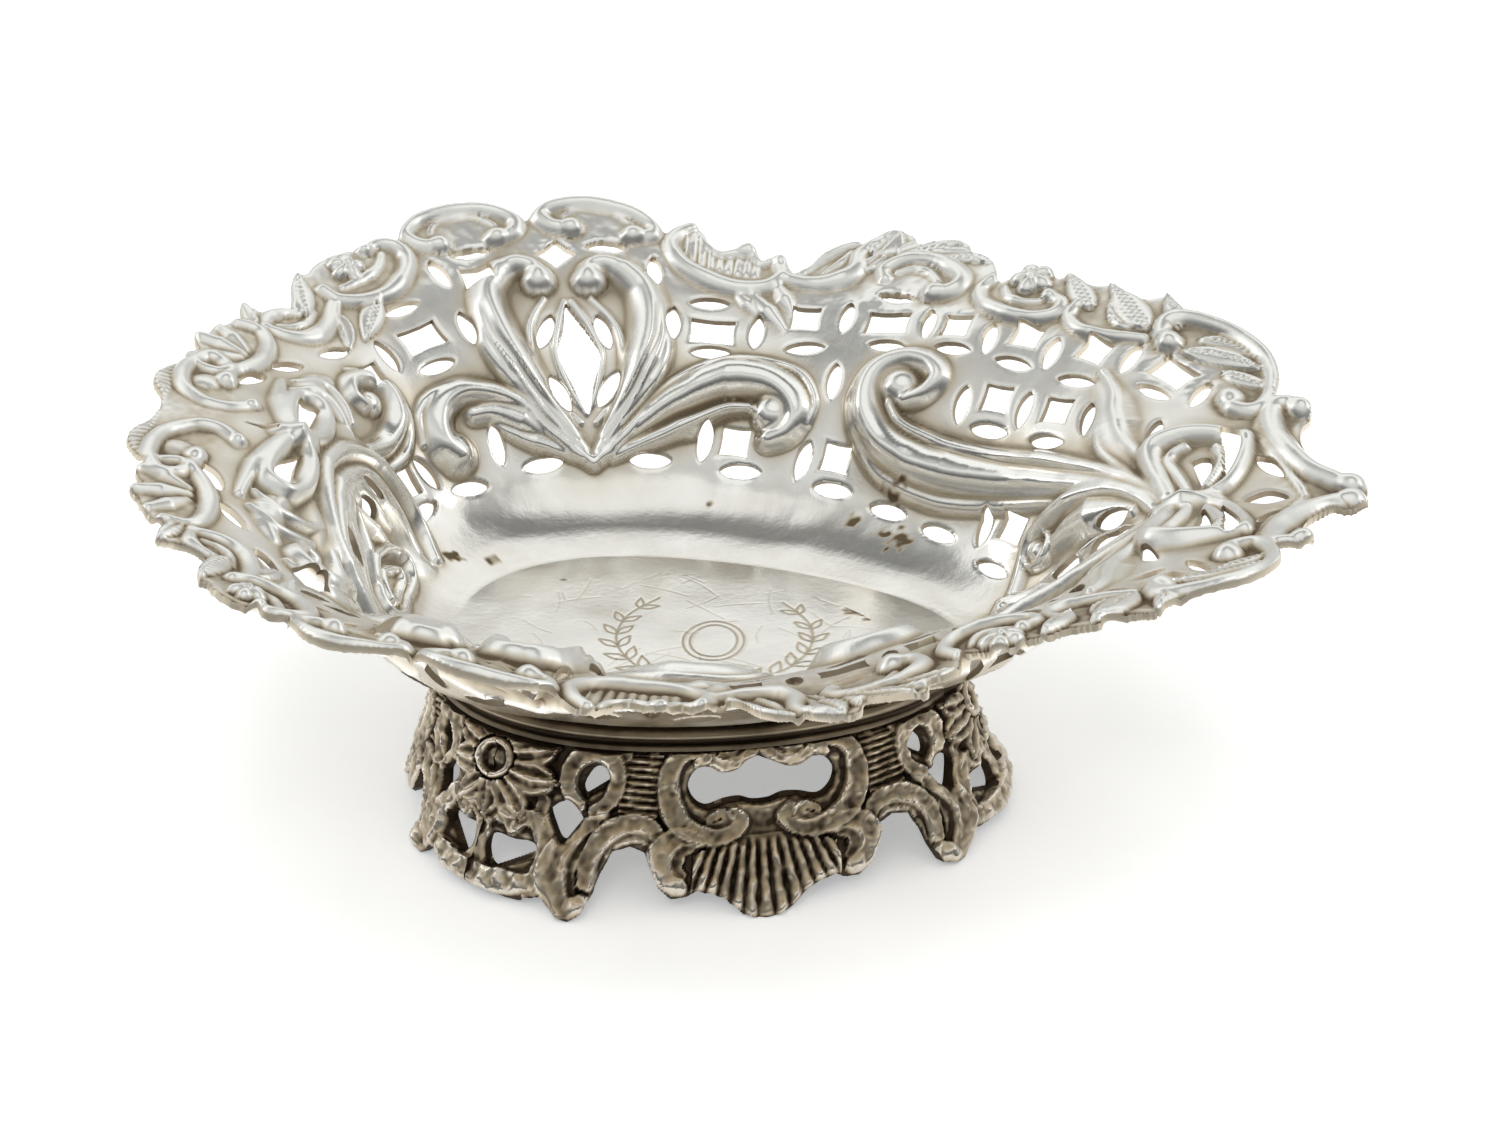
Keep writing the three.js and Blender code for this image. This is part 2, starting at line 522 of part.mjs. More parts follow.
// The collar ring: its section is swept round the floor's edge, between the bowl and the skirt
function collarGeometry() {
  const height = floorHeight - bowlGauge - skirtTop;
  const points = [];
  const faces = [];
  const sides = collarShares.length;
  for (let i = 0; i < collarSteps; i += 1) {
    const { share, side } = foldRound((2 * i) / collarSteps);
    const turn = skirtTurn(share);
    for (const [reach, up] of collarShares) {
      const plan = planPoint(floorPlan, turn).lerp(planPoint(collarPlan, turn), reach);
      points.push(new THREE.Vector3(plan.x, plan.y * side, skirtTop + up * height));
    }
  }
  for (let i = 0; i < collarSteps; i += 1) {
    const next = (i + 1) % collarSteps;
    for (let j = 0; j < sides; j += 1) {
      const after = (j + 1) % sides;
      const [a, b] = [i * sides + j, next * sides + j];
      const [c, d] = [next * sides + after, i * sides + after];
      faces.push(a, b, c, a, c, d);
    }
  }
  return indexedGeometry(points, faces);
}

// Level frame on the skirt, so that its piercings run straight through it
function levelFrame(point, around, height) {
  const along = point(around + tangentStepShare, height).sub(point(around - tangentStepShare, height)).normalize();
  const up = new THREE.Vector3(0, 0, 1);
  return { along, up, out: new THREE.Vector3().crossVectors(up, along).normalize() };
}

// One panel of the skirt, from one corner to the next round its centre
function panelGeometry(start, centre, end) {
  const trim = seamGap / 2 / groundPlan.halfWidth / Math.PI;
  const aroundAt = (reach) => {
    const limit = reach < 0 ? centre - start - trim : end - centre - trim;
    return centre + reach * limit;
  };
  const mirrored = skirtEdgeShares.slice(1).reverse().map(([reach, depth]) => [-reach, depth]);
  const edge = [...mirrored, ...skirtEdgeShares];
  const outer = edge.map(([reach, depth]) => skirtRowShares.map((row) => skirtPoint(aroundAt(reach), row * depth)));
  const inner = edge.map(([reach, depth], i) => skirtRowShares.map((row, j) => {
    const { out } = levelFrame(skirtPoint, aroundAt(reach), row * depth);
    return outer[i][j].clone().addScaledVector(out, -skirtGauge);
  }));
  let panel = solidFrom(sheetGeometry(outer, inner, false));
  const cartouche = [...cartoucheShares, ...cartoucheShares.slice(1, -1).reverse().map(([r, d]) => [-r, d])];
  const openings = [cartouche];
  for (const side of [1, -1]) {
    for (const corners of [scrollHoleShares, stemHoleShares, garlandHoleShares]) {
      openings.push(corners.map(([reach, depth]) => [side * reach, depth]));
    }
  }
  for (const corners of openings) {
    const placed = corners.map(([reach, depth]) => [aroundAt(reach), depth]);
    panel = panel.subtract(cornerPrism(skirtPoint, placed, levelFrame));
  }
  return geometryFrom(panel);
}

const silver = new THREE.MeshStandardMaterial({ color: 0xd9d5cb, roughness: 0.28, metalness: 1 });
const darkSilver = new THREE.MeshStandardMaterial({ color: 0xa89e8c, roughness: 0.4, metalness: 1 });

const dish = new THREE.Group();
function addPiece(name, geometry, material) {
  const mesh = new THREE.Mesh(geometry, material);
  mesh.name = name;
  dish.add(mesh);
}

addPiece('pierced_bowl', bowlGeometry(), silver);
addPiece('foot_collar', collarGeometry(), darkSilver);
addPiece('skirt_panel_rear', panelGeometry(cornerShare, sidePanelCentreShare, 1), darkSilver.clone());
addPiece('skirt_panel_front', panelGeometry(1, 2 - sidePanelCentreShare, 2 - cornerShare), darkSilver.clone());
addPiece('skirt_panel_end', panelGeometry(-cornerShare, 0, cornerShare), darkSilver.clone());

// The origin sits under the middle of the plan's bounding box
const reach = new THREE.Box3().setFromObject(dish);
dish.position.x = -(reach.min.x + reach.max.x) / 2;
dish.position.y = -(reach.min.y + reach.max.y) / 2;

export default dish;
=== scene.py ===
"""Looks of a footed silver bonbon dish: embossed and pierced sheet bowl, moulded collar and pierced foot.

Shapes are worked out in millimetres in the dish's own frame, then moved to the shared frame in metres.
Every silver sheet is one grid of points on a curved surface. An array on the same grid gives its relief,
and another gives how far each point lies inside the metal, so that the sheet is cut where that is nought.
"""

import bpy
import numpy as np
from mathutils import Matrix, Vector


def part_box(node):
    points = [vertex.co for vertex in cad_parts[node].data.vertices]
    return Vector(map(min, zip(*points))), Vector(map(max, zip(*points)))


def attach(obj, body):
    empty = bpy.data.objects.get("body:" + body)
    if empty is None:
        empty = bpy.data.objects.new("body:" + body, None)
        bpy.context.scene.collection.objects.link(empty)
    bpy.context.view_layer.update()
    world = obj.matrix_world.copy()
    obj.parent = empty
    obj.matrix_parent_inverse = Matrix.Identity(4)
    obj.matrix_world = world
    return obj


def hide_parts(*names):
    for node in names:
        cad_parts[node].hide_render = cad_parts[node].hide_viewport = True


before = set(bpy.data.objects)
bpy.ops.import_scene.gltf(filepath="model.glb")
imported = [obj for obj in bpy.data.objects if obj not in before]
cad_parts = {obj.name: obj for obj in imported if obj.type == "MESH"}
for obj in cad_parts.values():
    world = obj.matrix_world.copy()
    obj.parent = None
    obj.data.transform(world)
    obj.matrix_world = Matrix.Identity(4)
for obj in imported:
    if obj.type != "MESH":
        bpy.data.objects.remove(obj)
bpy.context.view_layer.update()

MM = 0.001

# Plans of the bowl's floor and rim, and of the foot's top and ground line
FLOOR_PLAN = dict(back=-44, widest=-18, front=29, half_width=21.5, back_power=2.2, front_power=1.8)
RIM_PLAN = dict(back=-88, widest=-25, front=87, half_width=75, back_power=2.4, front_power=1.75)
COLLAR_PLAN = dict(back=-47, widest=-16, front=28, half_width=25, back_power=2.2, front_power=1.9)
GROUND_PLAN = dict(back=-52, widest=-20, front=37, half_width=41, back_power=2.2, front_power=2)

SKIRT_TOP = 19.0
FLOOR_HEIGHT = 25.5
RIM_RISE = 32.5
BOWL_GAUGE = 0.95
SKIRT_GAUGE = 1.5

SIDE_PROFILE_SHARES = [(0, 0), (0.14, 0.05), (0.26, 0.16), (0.385, 0.41), (0.52, 0.65), (0.72, 0.84), (1, 1)]
END_PROFILE_SHARES = [(0, 0), (0.12, 0.04), (0.235, 0.18), (0.34, 0.52), (0.46, 0.79), (0.67, 0.92), (1, 1)]
WALL_SPAN_SHARE = 0.6
BACK_END_SHARE = 0.22
TIP_END_SHARE = 0.24
FLARE_OUT_SHARE = 1.15
FLARE_UP_SHARE = 0.55
RIM_RISE_SHARES = [1.02, 0.994, 0.985, 0.99, 0.978, 0.871, 0.874, 0.972, 0.969, 0.908, 0.8]
FRONT_BEND_SHARES = [0, 0.015, -0.05, -0.09, -0.05, 0.05, 0.05, 0, 0, 0, 0]
SKIRT_BOW_SHARE = 0.1

# Scalloped edge of one half of the rim: share of the way round, share of the wall's height
EDGE_SHARES = [
    (0, 0.965), (0.015, 0.975), (0.025, 1.0), (0.035, 1.012), (0.045, 1.0), (0.055, 0.975), (0.062, 0.955),
    (0.068, 0.972), (0.077, 0.965), (0.083, 0.955), (0.092, 0.985), (0.1, 0.965), (0.11, 0.962),
    (0.122, 0.945), (0.131, 0.925), (0.14, 0.95), (0.148, 0.962), (0.152, 0.915), (0.16, 0.895),
    (0.172, 0.875), (0.18, 0.895), (0.19, 0.935), (0.2, 0.956), (0.207, 0.945), (0.215, 0.958),
    (0.23, 0.966), (0.245, 0.96), (0.252, 0.95), (0.26, 0.965), (0.268, 0.962), (0.275, 0.945),
    (0.282, 0.975), (0.29, 1.0), (0.302, 1.022), (0.318, 1.031), (0.334, 1.022), (0.347, 1.0),
    (0.356, 0.972), (0.361, 0.96), (0.368, 0.98), (0.378, 1.008), (0.393, 1.029), (0.408, 1.035),
    (0.424, 1.025), (0.436, 1.0), (0.444, 0.972), (0.449, 0.965), (0.455, 0.99), (0.462, 1.014),
    (0.468, 1.014), (0.474, 0.985), (0.48, 0.945), (0.487, 0.932), (0.495, 0.948), (0.502, 0.966),
    (0.508, 0.958), (0.514, 0.925), (0.52, 0.94), (0.527, 0.945), (0.534, 0.912), (0.54, 0.905),
    (0.547, 0.93), (0.553, 0.985), (0.562, 1.028), (0.57, 1.048), (0.576, 1.05), (0.581, 1.08),
    (0.588, 1.102), (0.596, 1.106), (0.602, 1.09), (0.607, 1.055), (0.615, 1.072), (0.626, 1.09),
    (0.635, 1.09), (0.641, 1.05), (0.65, 1.042), (0.66, 1.018), (0.668, 0.97), (0.675, 0.95),
    (0.683, 0.995), (0.692, 1.018), (0.7, 1.012), (0.706, 0.995), (0.714, 1.012), (0.726, 1.0),
    (0.733, 1.005), (0.741, 1.02), (0.752, 1.006), (0.766, 1.015), (0.773, 1.047), (0.782, 1.032),
    (0.792, 1.02), (0.803, 1.025), (0.82, 1.036), (0.835, 1.038), (0.85, 1.03), (0.865, 1.01), (0.88, 0.98),
    (0.892, 0.945), (0.899, 0.93), (0.905, 0.962), (0.914, 0.972), (0.923, 0.955), (0.93, 0.925),
    (0.942, 0.905), (0.956, 0.9), (0.968, 0.91), (0.977, 0.93), (0.981, 0.965), (0.988, 0.985),
    (0.995, 0.985), (1, 0.978),
]

# Piercings of one half: share round, share up, then turn in degrees
SLOT_SHARES = [
    (0.072, 0.79, -25), (0.115, 0.745, -30), (0.17, 0.705, -12), (0.215, 0.64, 90), (0.25, 0.745, 5),
    (0.252, 0.57, 3), (0.291, 0.82, 98), (0.291, 0.65, 92), (0.318, 0.87, 0), (0.195, 0.335, 110),
    (0.168, 0.252, 8), (0.238, 0.262, -8), (0.282, 0.345, 92), (0.323, 0.28, 3), (0.352, 0.613, 68),
    (0.399, 0.613, 112), (0.353, 0.45, 115), (0.398, 0.462, 65), (0.41, 0.878, 8), (0.442, 0.82, 105),
    (0.483, 0.752, 12), (0.456, 0.67, 100), (0.487, 0.608, 12), (0.521, 0.69, 98), (0.562, 0.663, 12),
    (0.585, 0.775, 96), (0.595, 0.575, 97), (0.613, 0.862, -5), (0.648, 0.775, 100), (0.626, 0.695, -3),
    (0.68, 0.7, -3), (0.701, 0.75, 105), (0.733, 0.695, 0), (0.752, 0.755, 102), (0.788, 0.705, 12),
    (0.803, 0.82, 100), (0.844, 0.765, 4), (0.867, 0.825, 115), (0.89, 0.67, 128), (0.717, 0.55, 98),
    (0.77, 0.585, 100), (0.753, 0.505, 8), (0.812, 0.528, 14), (0.829, 0.62, 120), (0.488, 0.36, 88),
    (0.435, 0.29, 5), (0.526, 0.29, 3), (0.587, 0.343, 82), (0.625, 0.275, -3), (0.694, 0.243, -4),
    (0.762, 0.222, -5), (0.807, 0.275, 96), (0.855, 0.183, -3), (0.965, 0.82, 20), (0.965, 0.475, 60),
    (0.036, 0.365, 128), (0.066, 0.39, 130), (0.962, 0.3, 62),
]
WINDOW_SHARES = [
    (0.187, 0.605, -5), (0.315, 0.787, 0), (0.162, 0.333, 0), (0.375, 0.845, 45), (0.555, 0.755, 6),
    (0.67, 0.775, 5), (0.725, 0.785, 5), (0.777, 0.803, 0), (0.742, 0.59, 8), (0.797, 0.612, 14),
    (0.517, 0.37, 0), (0.619, 0.362, -4), (0.84, 0.298, 0),
]
WIDE_WINDOW_SHARES = [(0.252, 0.652, 5), (0.487, 0.668, 8), (0.617, 0.77, 4), (0.835, 0.838, -3)]
SLOT_LENGTH = 6.4
SLOT_WIDTH = 2.35
WINDOW_SIDE = 4.45
WIDE_WINDOW_LENGTH = 6.8

# Larger piercings as corners of a smooth outline: share round, share up
OPENING_SHARES = [
    [(0.3735, 0.685), (0.367, 0.62), (0.3575, 0.545), (0.365, 0.475), (0.376, 0.395), (0.3845, 0.47),
     (0.394, 0.55), (0.3815, 0.62)],
    [(0.022, 0.6), (0.04, 0.64), (0.062, 0.655), (0.068, 0.61), (0.045, 0.588)],
    [(0.923, 0.77), (0.932, 0.8), (0.977, 0.725), (0.982, 0.705)],
    [(0.943, 0.685), (0.945, 0.722), (0.978, 0.685), (0.972, 0.662)],
    [(1, 0.58), (0.989, 0.48), (0.976, 0.4), (1, 0.25), (1.024, 0.4), (1.011, 0.48)],
    [(1, 0.84), (0.991, 0.8), (1, 0.755), (1.009, 0.8)],
    [(0.929, 0.22), (0.942, 0.316), (0.952, 0.372), (0.963, 0.415), (0.965, 0.38), (0.959, 0.33), (0.945,
     0.264)],
    [(0, 0.75), (-0.016, 0.71), (0, 0.67), (0.016, 0.71)],
]

# Embossed ribs of one half. Each has its points (share round, share up), then its half width and its
# height in mm at the start, the middle and the end.
RIM_RIB_SHARES = [
    ([(0.05, 0.835), (0.064, 0.845), (0.074, 0.88), (0.071, 0.925), (0.052, 0.952), (0.031, 0.937),
     (0.019, 0.89), (0.014, 0.85), (0.016, 0.8), (0.028, 0.75)], (1.3, 1.35, 1.2), (1.3, 1.7, 1.0)),
    ([(0.06, 0.93), (0.06, 0.875), (0.073, 0.83), (0.098, 0.8), (0.121, 0.817), (0.132, 0.865),
     (0.126, 0.925)], (1.0, 1.5, 1.0), (1.0, 1.7, 1.2)),
    ([(0.09, 0.85), (0.079, 0.9), (0.068, 0.962)], (0.8, 1.5, 0.9), (0.7, 1.3, 0.8)),
    ([(0.096, 0.85), (0.094, 0.92), (0.092, 0.982)], (0.8, 1.5, 0.9), (0.7, 1.5, 1.0)),
    ([(0.103, 0.855), (0.109, 0.905), (0.112, 0.952)], (0.8, 1.4, 0.9), (0.6, 1.2, 0.7)),
    ([(0.138, 0.865), (0.15, 0.884), (0.162, 0.878), (0.173, 0.853)], (0.9, 1.2, 0.9), (0.9, 1.3, 0.8)),
    ([(0.139, 0.87), (0.146, 0.815), (0.158, 0.778), (0.174, 0.768), (0.19, 0.785), (0.204, 0.825)], (0.9,
     1.7, 1.1), (0.9, 1.6, 1.0)),
    ([(0.15, 0.85), (0.159, 0.822), (0.172, 0.812), (0.185, 0.83)], (0.6, 0.9, 0.6), (0.5, 0.9, 0.5)),
    ([(0.205, 0.875), (0.21, 0.83), (0.227, 0.8), (0.247, 0.798), (0.264, 0.828), (0.275, 0.88),
     (0.273, 0.93), (0.262, 0.952), (0.251, 0.94)], (1.2, 1.6, 1.1), (1.3, 1.9, 1.2)),
    ([(0.22, 0.858), (0.238, 0.862), (0.253, 0.882), (0.261, 0.918)], (0.7, 1.0, 0.7), (0.6, 1.1, 0.6)),
    ([(0.301, 0.902), (0.288, 0.918), (0.283, 0.96), (0.295, 0.998), (0.318, 1.012), (0.341, 0.998),
     (0.354, 0.96), (0.352, 0.922), (0.34, 0.902)], (1.5, 1.35, 1.5), (1.6, 1.6, 1.6)),
    ([(0.299, 0.95), (0.305, 0.98), (0.318, 0.99), (0.332, 0.98), (0.341, 0.952)], (0.5, 0.6, 0.5), (0.3,
     0.55, 0.3)),
    ([(0.389, 0.922), (0.376, 0.934), (0.371, 0.972), (0.383, 1.003), (0.406, 1.017), (0.428, 1.005),
     (0.441, 0.972), (0.44, 0.937), (0.428, 0.92)], (1.5, 1.35, 1.5), (1.6, 1.6, 1.6)),
    ([(0.386, 0.965), (0.393, 0.99), (0.407, 0.997), (0.42, 0.988), (0.428, 0.962)], (0.5, 0.6, 0.5), (0.3,
     0.55, 0.3)),
    ([(0.466, 1.0), (0.457, 0.965), (0.453, 0.915), (0.461, 0.86), (0.479, 0.825), (0.501, 0.814),
     (0.519, 0.833), (0.529, 0.878), (0.526, 0.925)], (1.1, 1.8, 1.3), (1.2, 2.0, 1.2)),
    ([(0.472, 0.985), (0.476, 0.95), (0.486, 0.928), (0.496, 0.94), (0.503, 0.955)], (0.6, 0.9, 1.4), (0.6,
     1.0, 1.5)),
    ([(0.505, 0.955), (0.512, 0.92), (0.52, 0.93), (0.527, 0.937)], (1.3, 0.8, 1.3), (1.4, 0.9, 1.3)),
    ([(0.512, 0.8), (0.524, 0.763), (0.541, 0.71)], (1.0, 1.5, 0.5), (0.9, 1.3, 0.4)),
    ([(0.528, 0.845), (0.536, 0.805), (0.546, 0.762)], (1.0, 1.4, 0.5), (0.9, 1.2, 0.4)),
    ([(0.502, 0.795), (0.51, 0.77), (0.52, 0.74)], (0.8, 1.1, 0.4), (0.7, 1.0, 0.3)),
    ([(0.532, 0.878), (0.551, 0.87), (0.568, 0.893), (0.576, 0.94), (0.574, 1.0), (0.578, 1.045)], (1.2,
     1.9, 1.0), (1.1, 1.9, 1.0)),
    ([(0.542, 0.9), (0.549, 0.95), (0.558, 1.0), (0.569, 1.043)], (0.8, 1.1, 0.8), (0.9, 1.2, 0.8)),
    ([(0.557, 0.91), (0.564, 0.96), (0.568, 1.01)], (0.5, 0.7, 0.5), (0.5, 0.8, 0.4)),
    ([(0.638, 0.876), (0.649, 0.9), (0.648, 0.945), (0.635, 0.985), (0.617, 1.003), (0.602, 0.99),
     (0.594, 0.955), (0.598, 0.922)], (1.6, 1.5, 1.2), (1.7, 1.8, 1.2)),
    ([(0.604, 0.95), (0.613, 0.968), (0.625, 0.958), (0.634, 0.925)], (0.6, 0.9, 0.7), (0.6, 1.0, 0.6)),
    ([(0.669, 0.96), (0.667, 0.905), (0.677, 0.86), (0.697, 0.833), (0.716, 0.835), (0.728, 0.868),
     (0.725, 0.91), (0.713, 0.922)], (1.1, 1.5, 1.1), (1.2, 1.9, 1.2)),
    ([(0.681, 0.925), (0.689, 0.893), (0.701, 0.885), (0.711, 0.9)], (0.6, 0.9, 0.6), (0.6, 1.0, 0.6)),
    ([(0.735, 0.92), (0.739, 0.87), (0.757, 0.843), (0.777, 0.858), (0.794, 0.888)], (1.0, 1.3, 0.9), (1.1,
     1.6, 1.0)),
    ([(0.811, 0.902), (0.798, 0.93), (0.793, 0.972), (0.806, 1.007), (0.832, 1.02), (0.858, 1.006),
     (0.88, 0.968), (0.897, 0.918), (0.904, 0.872), (0.896, 0.843), (0.883, 0.852)], (1.7, 1.5, 1.6), (1.8,
     1.8, 1.8)),
    ([(0.914, 0.952), (0.905, 0.932), (0.91, 0.897), (0.929, 0.87), (0.952, 0.866), (0.972, 0.885),
     (0.984, 0.92), (0.993, 0.955)], (1.7, 1.9, 1.8), (1.8, 2.1, 1.9)),
    ([(0.906, 0.885), (0.922, 0.848), (0.948, 0.836), (0.975, 0.85), (1, 0.87)], (0.6, 0.9, 0.6), (0.5, 0.8,
     0.5)),
]

WALL_RIB_SHARES = [
    # Right-hand arm of the side medallion and its curl
    ([(0.402, 0.325), (0.432, 0.395), (0.463, 0.465), (0.5, 0.533), (0.535, 0.548), (0.558, 0.52),
     (0.571, 0.465), (0.566, 0.415), (0.551, 0.388)], (1.5, 3.3, 2.0), (1.0, 3.0, 1.8)),
    ([(0.404, 0.355), (0.434, 0.44), (0.463, 0.52), (0.5, 0.585), (0.537, 0.602), (0.566, 0.58),
     (0.585, 0.51), (0.585, 0.44)], (0.6, 0.9, 0.6), (0.7, 1.1, 0.6)),
    ([(0.395, 0.29), (0.44, 0.345), (0.475, 0.4), (0.505, 0.45), (0.527, 0.462)], (1.0, 1.7, 1.1), (0.9,
     2.5, 2.0)),
    ([(0.46, 0.355), (0.478, 0.378), (0.49, 0.41)], (0.7, 1.0, 0.6), (0.7, 1.2, 0.6)),
    # Left-hand arm and its curl
    ([(0.35, 0.325), (0.322, 0.415), (0.296, 0.463), (0.264, 0.488), (0.24, 0.475), (0.227, 0.435),
     (0.225, 0.385), (0.235, 0.345)], (1.2, 2.0, 2.9), (1.0, 2.4, 2.8)),
    ([(0.266, 0.51), (0.236, 0.51), (0.212, 0.47), (0.204, 0.4)], (0.6, 0.9, 0.6), (0.6, 1.1, 0.6)),
    ([(0.345, 0.315), (0.315, 0.385), (0.288, 0.425), (0.268, 0.43)], (1.2, 2.4, 1.6), (0.6, 1.8, 1.4)),
    ([(0.36, 0.285), (0.335, 0.318), (0.308, 0.35), (0.282, 0.395)], (0.8, 1.3, 0.7), (0.8, 1.4, 0.6)),
    # Large S scroll towards the tip
    ([(0.668, 0.53), (0.682, 0.555), (0.686, 0.6), (0.672, 0.638), (0.65, 0.645), (0.633, 0.61),
     (0.629, 0.55), (0.639, 0.48), (0.66, 0.42), (0.692, 0.382), (0.735, 0.372), (0.785, 0.39),
     (0.835, 0.422), (0.885, 0.465), (0.935, 0.525), (0.985, 0.595)], (1.5, 3.7, 1.2), (1.6, 3.6, 1.0)),
    ([(0.655, 0.515), (0.67, 0.475), (0.695, 0.45), (0.73, 0.437), (0.775, 0.447), (0.825, 0.475),
     (0.875, 0.505), (0.935, 0.555), (0.985, 0.61)], (1.0, 1.7, 0.9), (1.4, 2.5, 0.9)),
    ([(0.624, 0.6), (0.617, 0.54), (0.626, 0.46), (0.645, 0.39), (0.67, 0.335), (0.705, 0.306), (0.75, 0.3),
     (0.8, 0.328), (0.86, 0.383), (0.91, 0.438)], (0.9, 1.7, 0.8), (0.7, 1.5, 0.6)),
    # Plain leaf above the S scroll
    ([(0.8, 0.748), (0.824, 0.712), (0.85, 0.655), (0.885, 0.613), (0.935, 0.6)], (0.8, 1.3, 0.9), (0.9,
     1.6, 1.0)),
    ([(0.81, 0.725), (0.838, 0.672), (0.868, 0.61), (0.915, 0.582)], (1.5, 3.6, 1.5), (0.4, 1.3, 0.5)),
    ([(0.85, 0.6), (0.873, 0.563), (0.91, 0.556), (0.955, 0.582)], (0.7, 1.0, 0.7), (0.5, 1.0, 0.6)),
    # Bow at the tip
    ([(0.985, 0.612), (0.945, 0.607), (0.918, 0.63), (0.911, 0.69), (0.917, 0.75), (0.932, 0.808)], (1.5,
     2.2, 1.4), (1.6, 2.6, 1.2)),
    ([(0.93, 0.812), (0.955, 0.775), (0.982, 0.725), (0.997, 0.67)], (1.3, 1.3, 1.2), (1.2, 1.4, 1.4)),
    ([(0.936, 0.745), (0.955, 0.735), (0.98, 0.69)], (0.9, 1.0, 0.9), (1.0, 1.2, 1.2)),
    ([(0.925, 0.69), (0.931, 0.655), (0.945, 0.64), (0.985, 0.65)], (0.9, 1.1, 1.0), (1.1, 1.3, 1.3)),
    ([(1, 0.69), (1, 0.64), (1, 0.59)], (2.2, 2.8, 2.0), (1.6, 2.9, 1.4)),
    # Leafy medallion under it
    ([(0.987, 0.575), (0.942, 0.522), (0.906, 0.452), (0.886, 0.375), (0.876, 0.295), (0.89, 0.22),
     (0.916, 0.15)], (1.0, 2.0, 1.0), (1.0, 2.5, 0.9)),
    ([(0.975, 0.53), (0.942, 0.455), (0.92, 0.375), (0.91, 0.3)], (1.2, 3.6, 1.6), (0.8, 2.2, 1.0)),
    ([(0.992, 0.5), (0.975, 0.42), (0.968, 0.35), (0.95, 0.26), (0.932, 0.17), (0.922, 0.13)], (0.8, 1.2,
     0.8), (1.0, 1.8, 0.8)),
    ([(1, 0.235), (0.97, 0.2), (0.945, 0.16), (0.93, 0.115)], (0.9, 1.2, 0.8), (0.9, 1.4, 0.6)),
    ([(0.985, 0.32), (0.968, 0.25), (0.945, 0.19), (0.928, 0.13)], (0.8, 1.2, 0.8), (0.9, 1.6, 0.7)),
    ([(0.883, 0.335), (0.902, 0.315), (0.912, 0.272), (0.903, 0.232), (0.887, 0.24)], (0.7, 1.1, 0.7), (0.8,
     1.5, 0.9)),
    ([(0.921, 0.12), (0.945, 0.092), (0.975, 0.085), (1, 0.09)], (0.9, 1.4, 1.1), (0.7, 1.2, 0.8)),
    # Curl between the blunt end's bow and the lattice
    ([(0.085, 0.485), (0.12, 0.455), (0.152, 0.445), (0.178, 0.478), (0.186, 0.54), (0.176, 0.595),
     (0.156, 0.612), (0.144, 0.585), (0.15, 0.55)], (1.0, 2.4, 1.3), (0.9, 2.8, 1.6)),
    ([(0.1, 0.415), (0.14, 0.388), (0.176, 0.402), (0.196, 0.465), (0.199, 0.545), (0.187, 0.61),
     (0.165, 0.645)], (0.7, 1.3, 0.7), (0.6, 1.3, 0.6)),
    # Bow at the blunt end, with hanging ribbons
    ([(0.07, 0.54), (0.095, 0.5), (0.11, 0.47)], (2.0, 2.8, 1.6), (0.6, 1.2, 0.6)),
    ([(0.075, 0.6), (0.095, 0.64), (0.118, 0.66), (0.135, 0.65)], (1.5, 2.6, 1.2), (0.6, 1.5, 0.6)),
    ([(0.004, 0.6), (0.026, 0.572), (0.058, 0.573), (0.077, 0.612), (0.068, 0.667), (0.04, 0.665),
     (0.01, 0.64)], (1.4, 1.8, 1.4), (1.6, 2.2, 1.6)),
    ([(0.012, 0.655), (0.045, 0.69), (0.088, 0.725)], (1.2, 1.6, 0.8), (1.2, 1.5, 0.7)),
    ([(0.083, 0.69), (0.103, 0.63), (0.104, 0.565), (0.093, 0.515)], (0.7, 1.3, 0.8), (0.7, 1.4, 0.8)),
    ([(0.1, 0.7), (0.122, 0.645), (0.125, 0.58), (0.118, 0.53)], (0.7, 1.1, 0.7), (0.6, 1.1, 0.6)),
    ([(0, 0.655), (0, 0.625), (0, 0.59)], (2.0, 2.8, 2.0), (1.5, 2.8, 1.5)),
    # Shell medallion at the blunt end, on a raised ground
    ([(0, 0.44), (0.05, 0.41), (0.088, 0.33), (0.1, 0.24), (0.098, 0.16)], (3.0, 4.2, 2.6), (1.3, 1.7,
     0.8)),
    ([(0, 0.53), (0.05, 0.506), (0.093, 0.452), (0.12, 0.38), (0.138, 0.3), (0.143, 0.215), (0.13, 0.14)],
     (1.4, 2.2, 1.2), (1.3, 2.6, 0.9)),
    ([(0, 0.475), (0.045, 0.452), (0.078, 0.42), (0.102, 0.35), (0.113, 0.27), (0.108, 0.18)], (1.2, 1.6,
     1.0), (1.0, 1.8, 0.8)),
    ([(0.008, 0.45), (0.03, 0.412), (0.055, 0.345), (0.075, 0.28)], (0.8, 1.2, 0.8), (0.9, 1.6, 0.8)),
    ([(0, 0.4), (0.018, 0.345), (0.04, 0.285), (0.055, 0.24)], (0.8, 1.3, 0.8), (0.9, 1.6, 0.8)),
    ([(0, 0.27), (0.035, 0.255), (0.062, 0.225), (0.07, 0.18), (0.05, 0.145), (0.02, 0.138), (0, 0.14)],
     (0.9, 1.3, 0.9), (0.9, 1.6, 1.0)),
    ([(0, 0.23), (0.022, 0.215), (0.038, 0.19), (0.028, 0.168), (0, 0.165)], (0.7, 0.9, 0.7), (0.8, 1.1,
     0.8)),
]

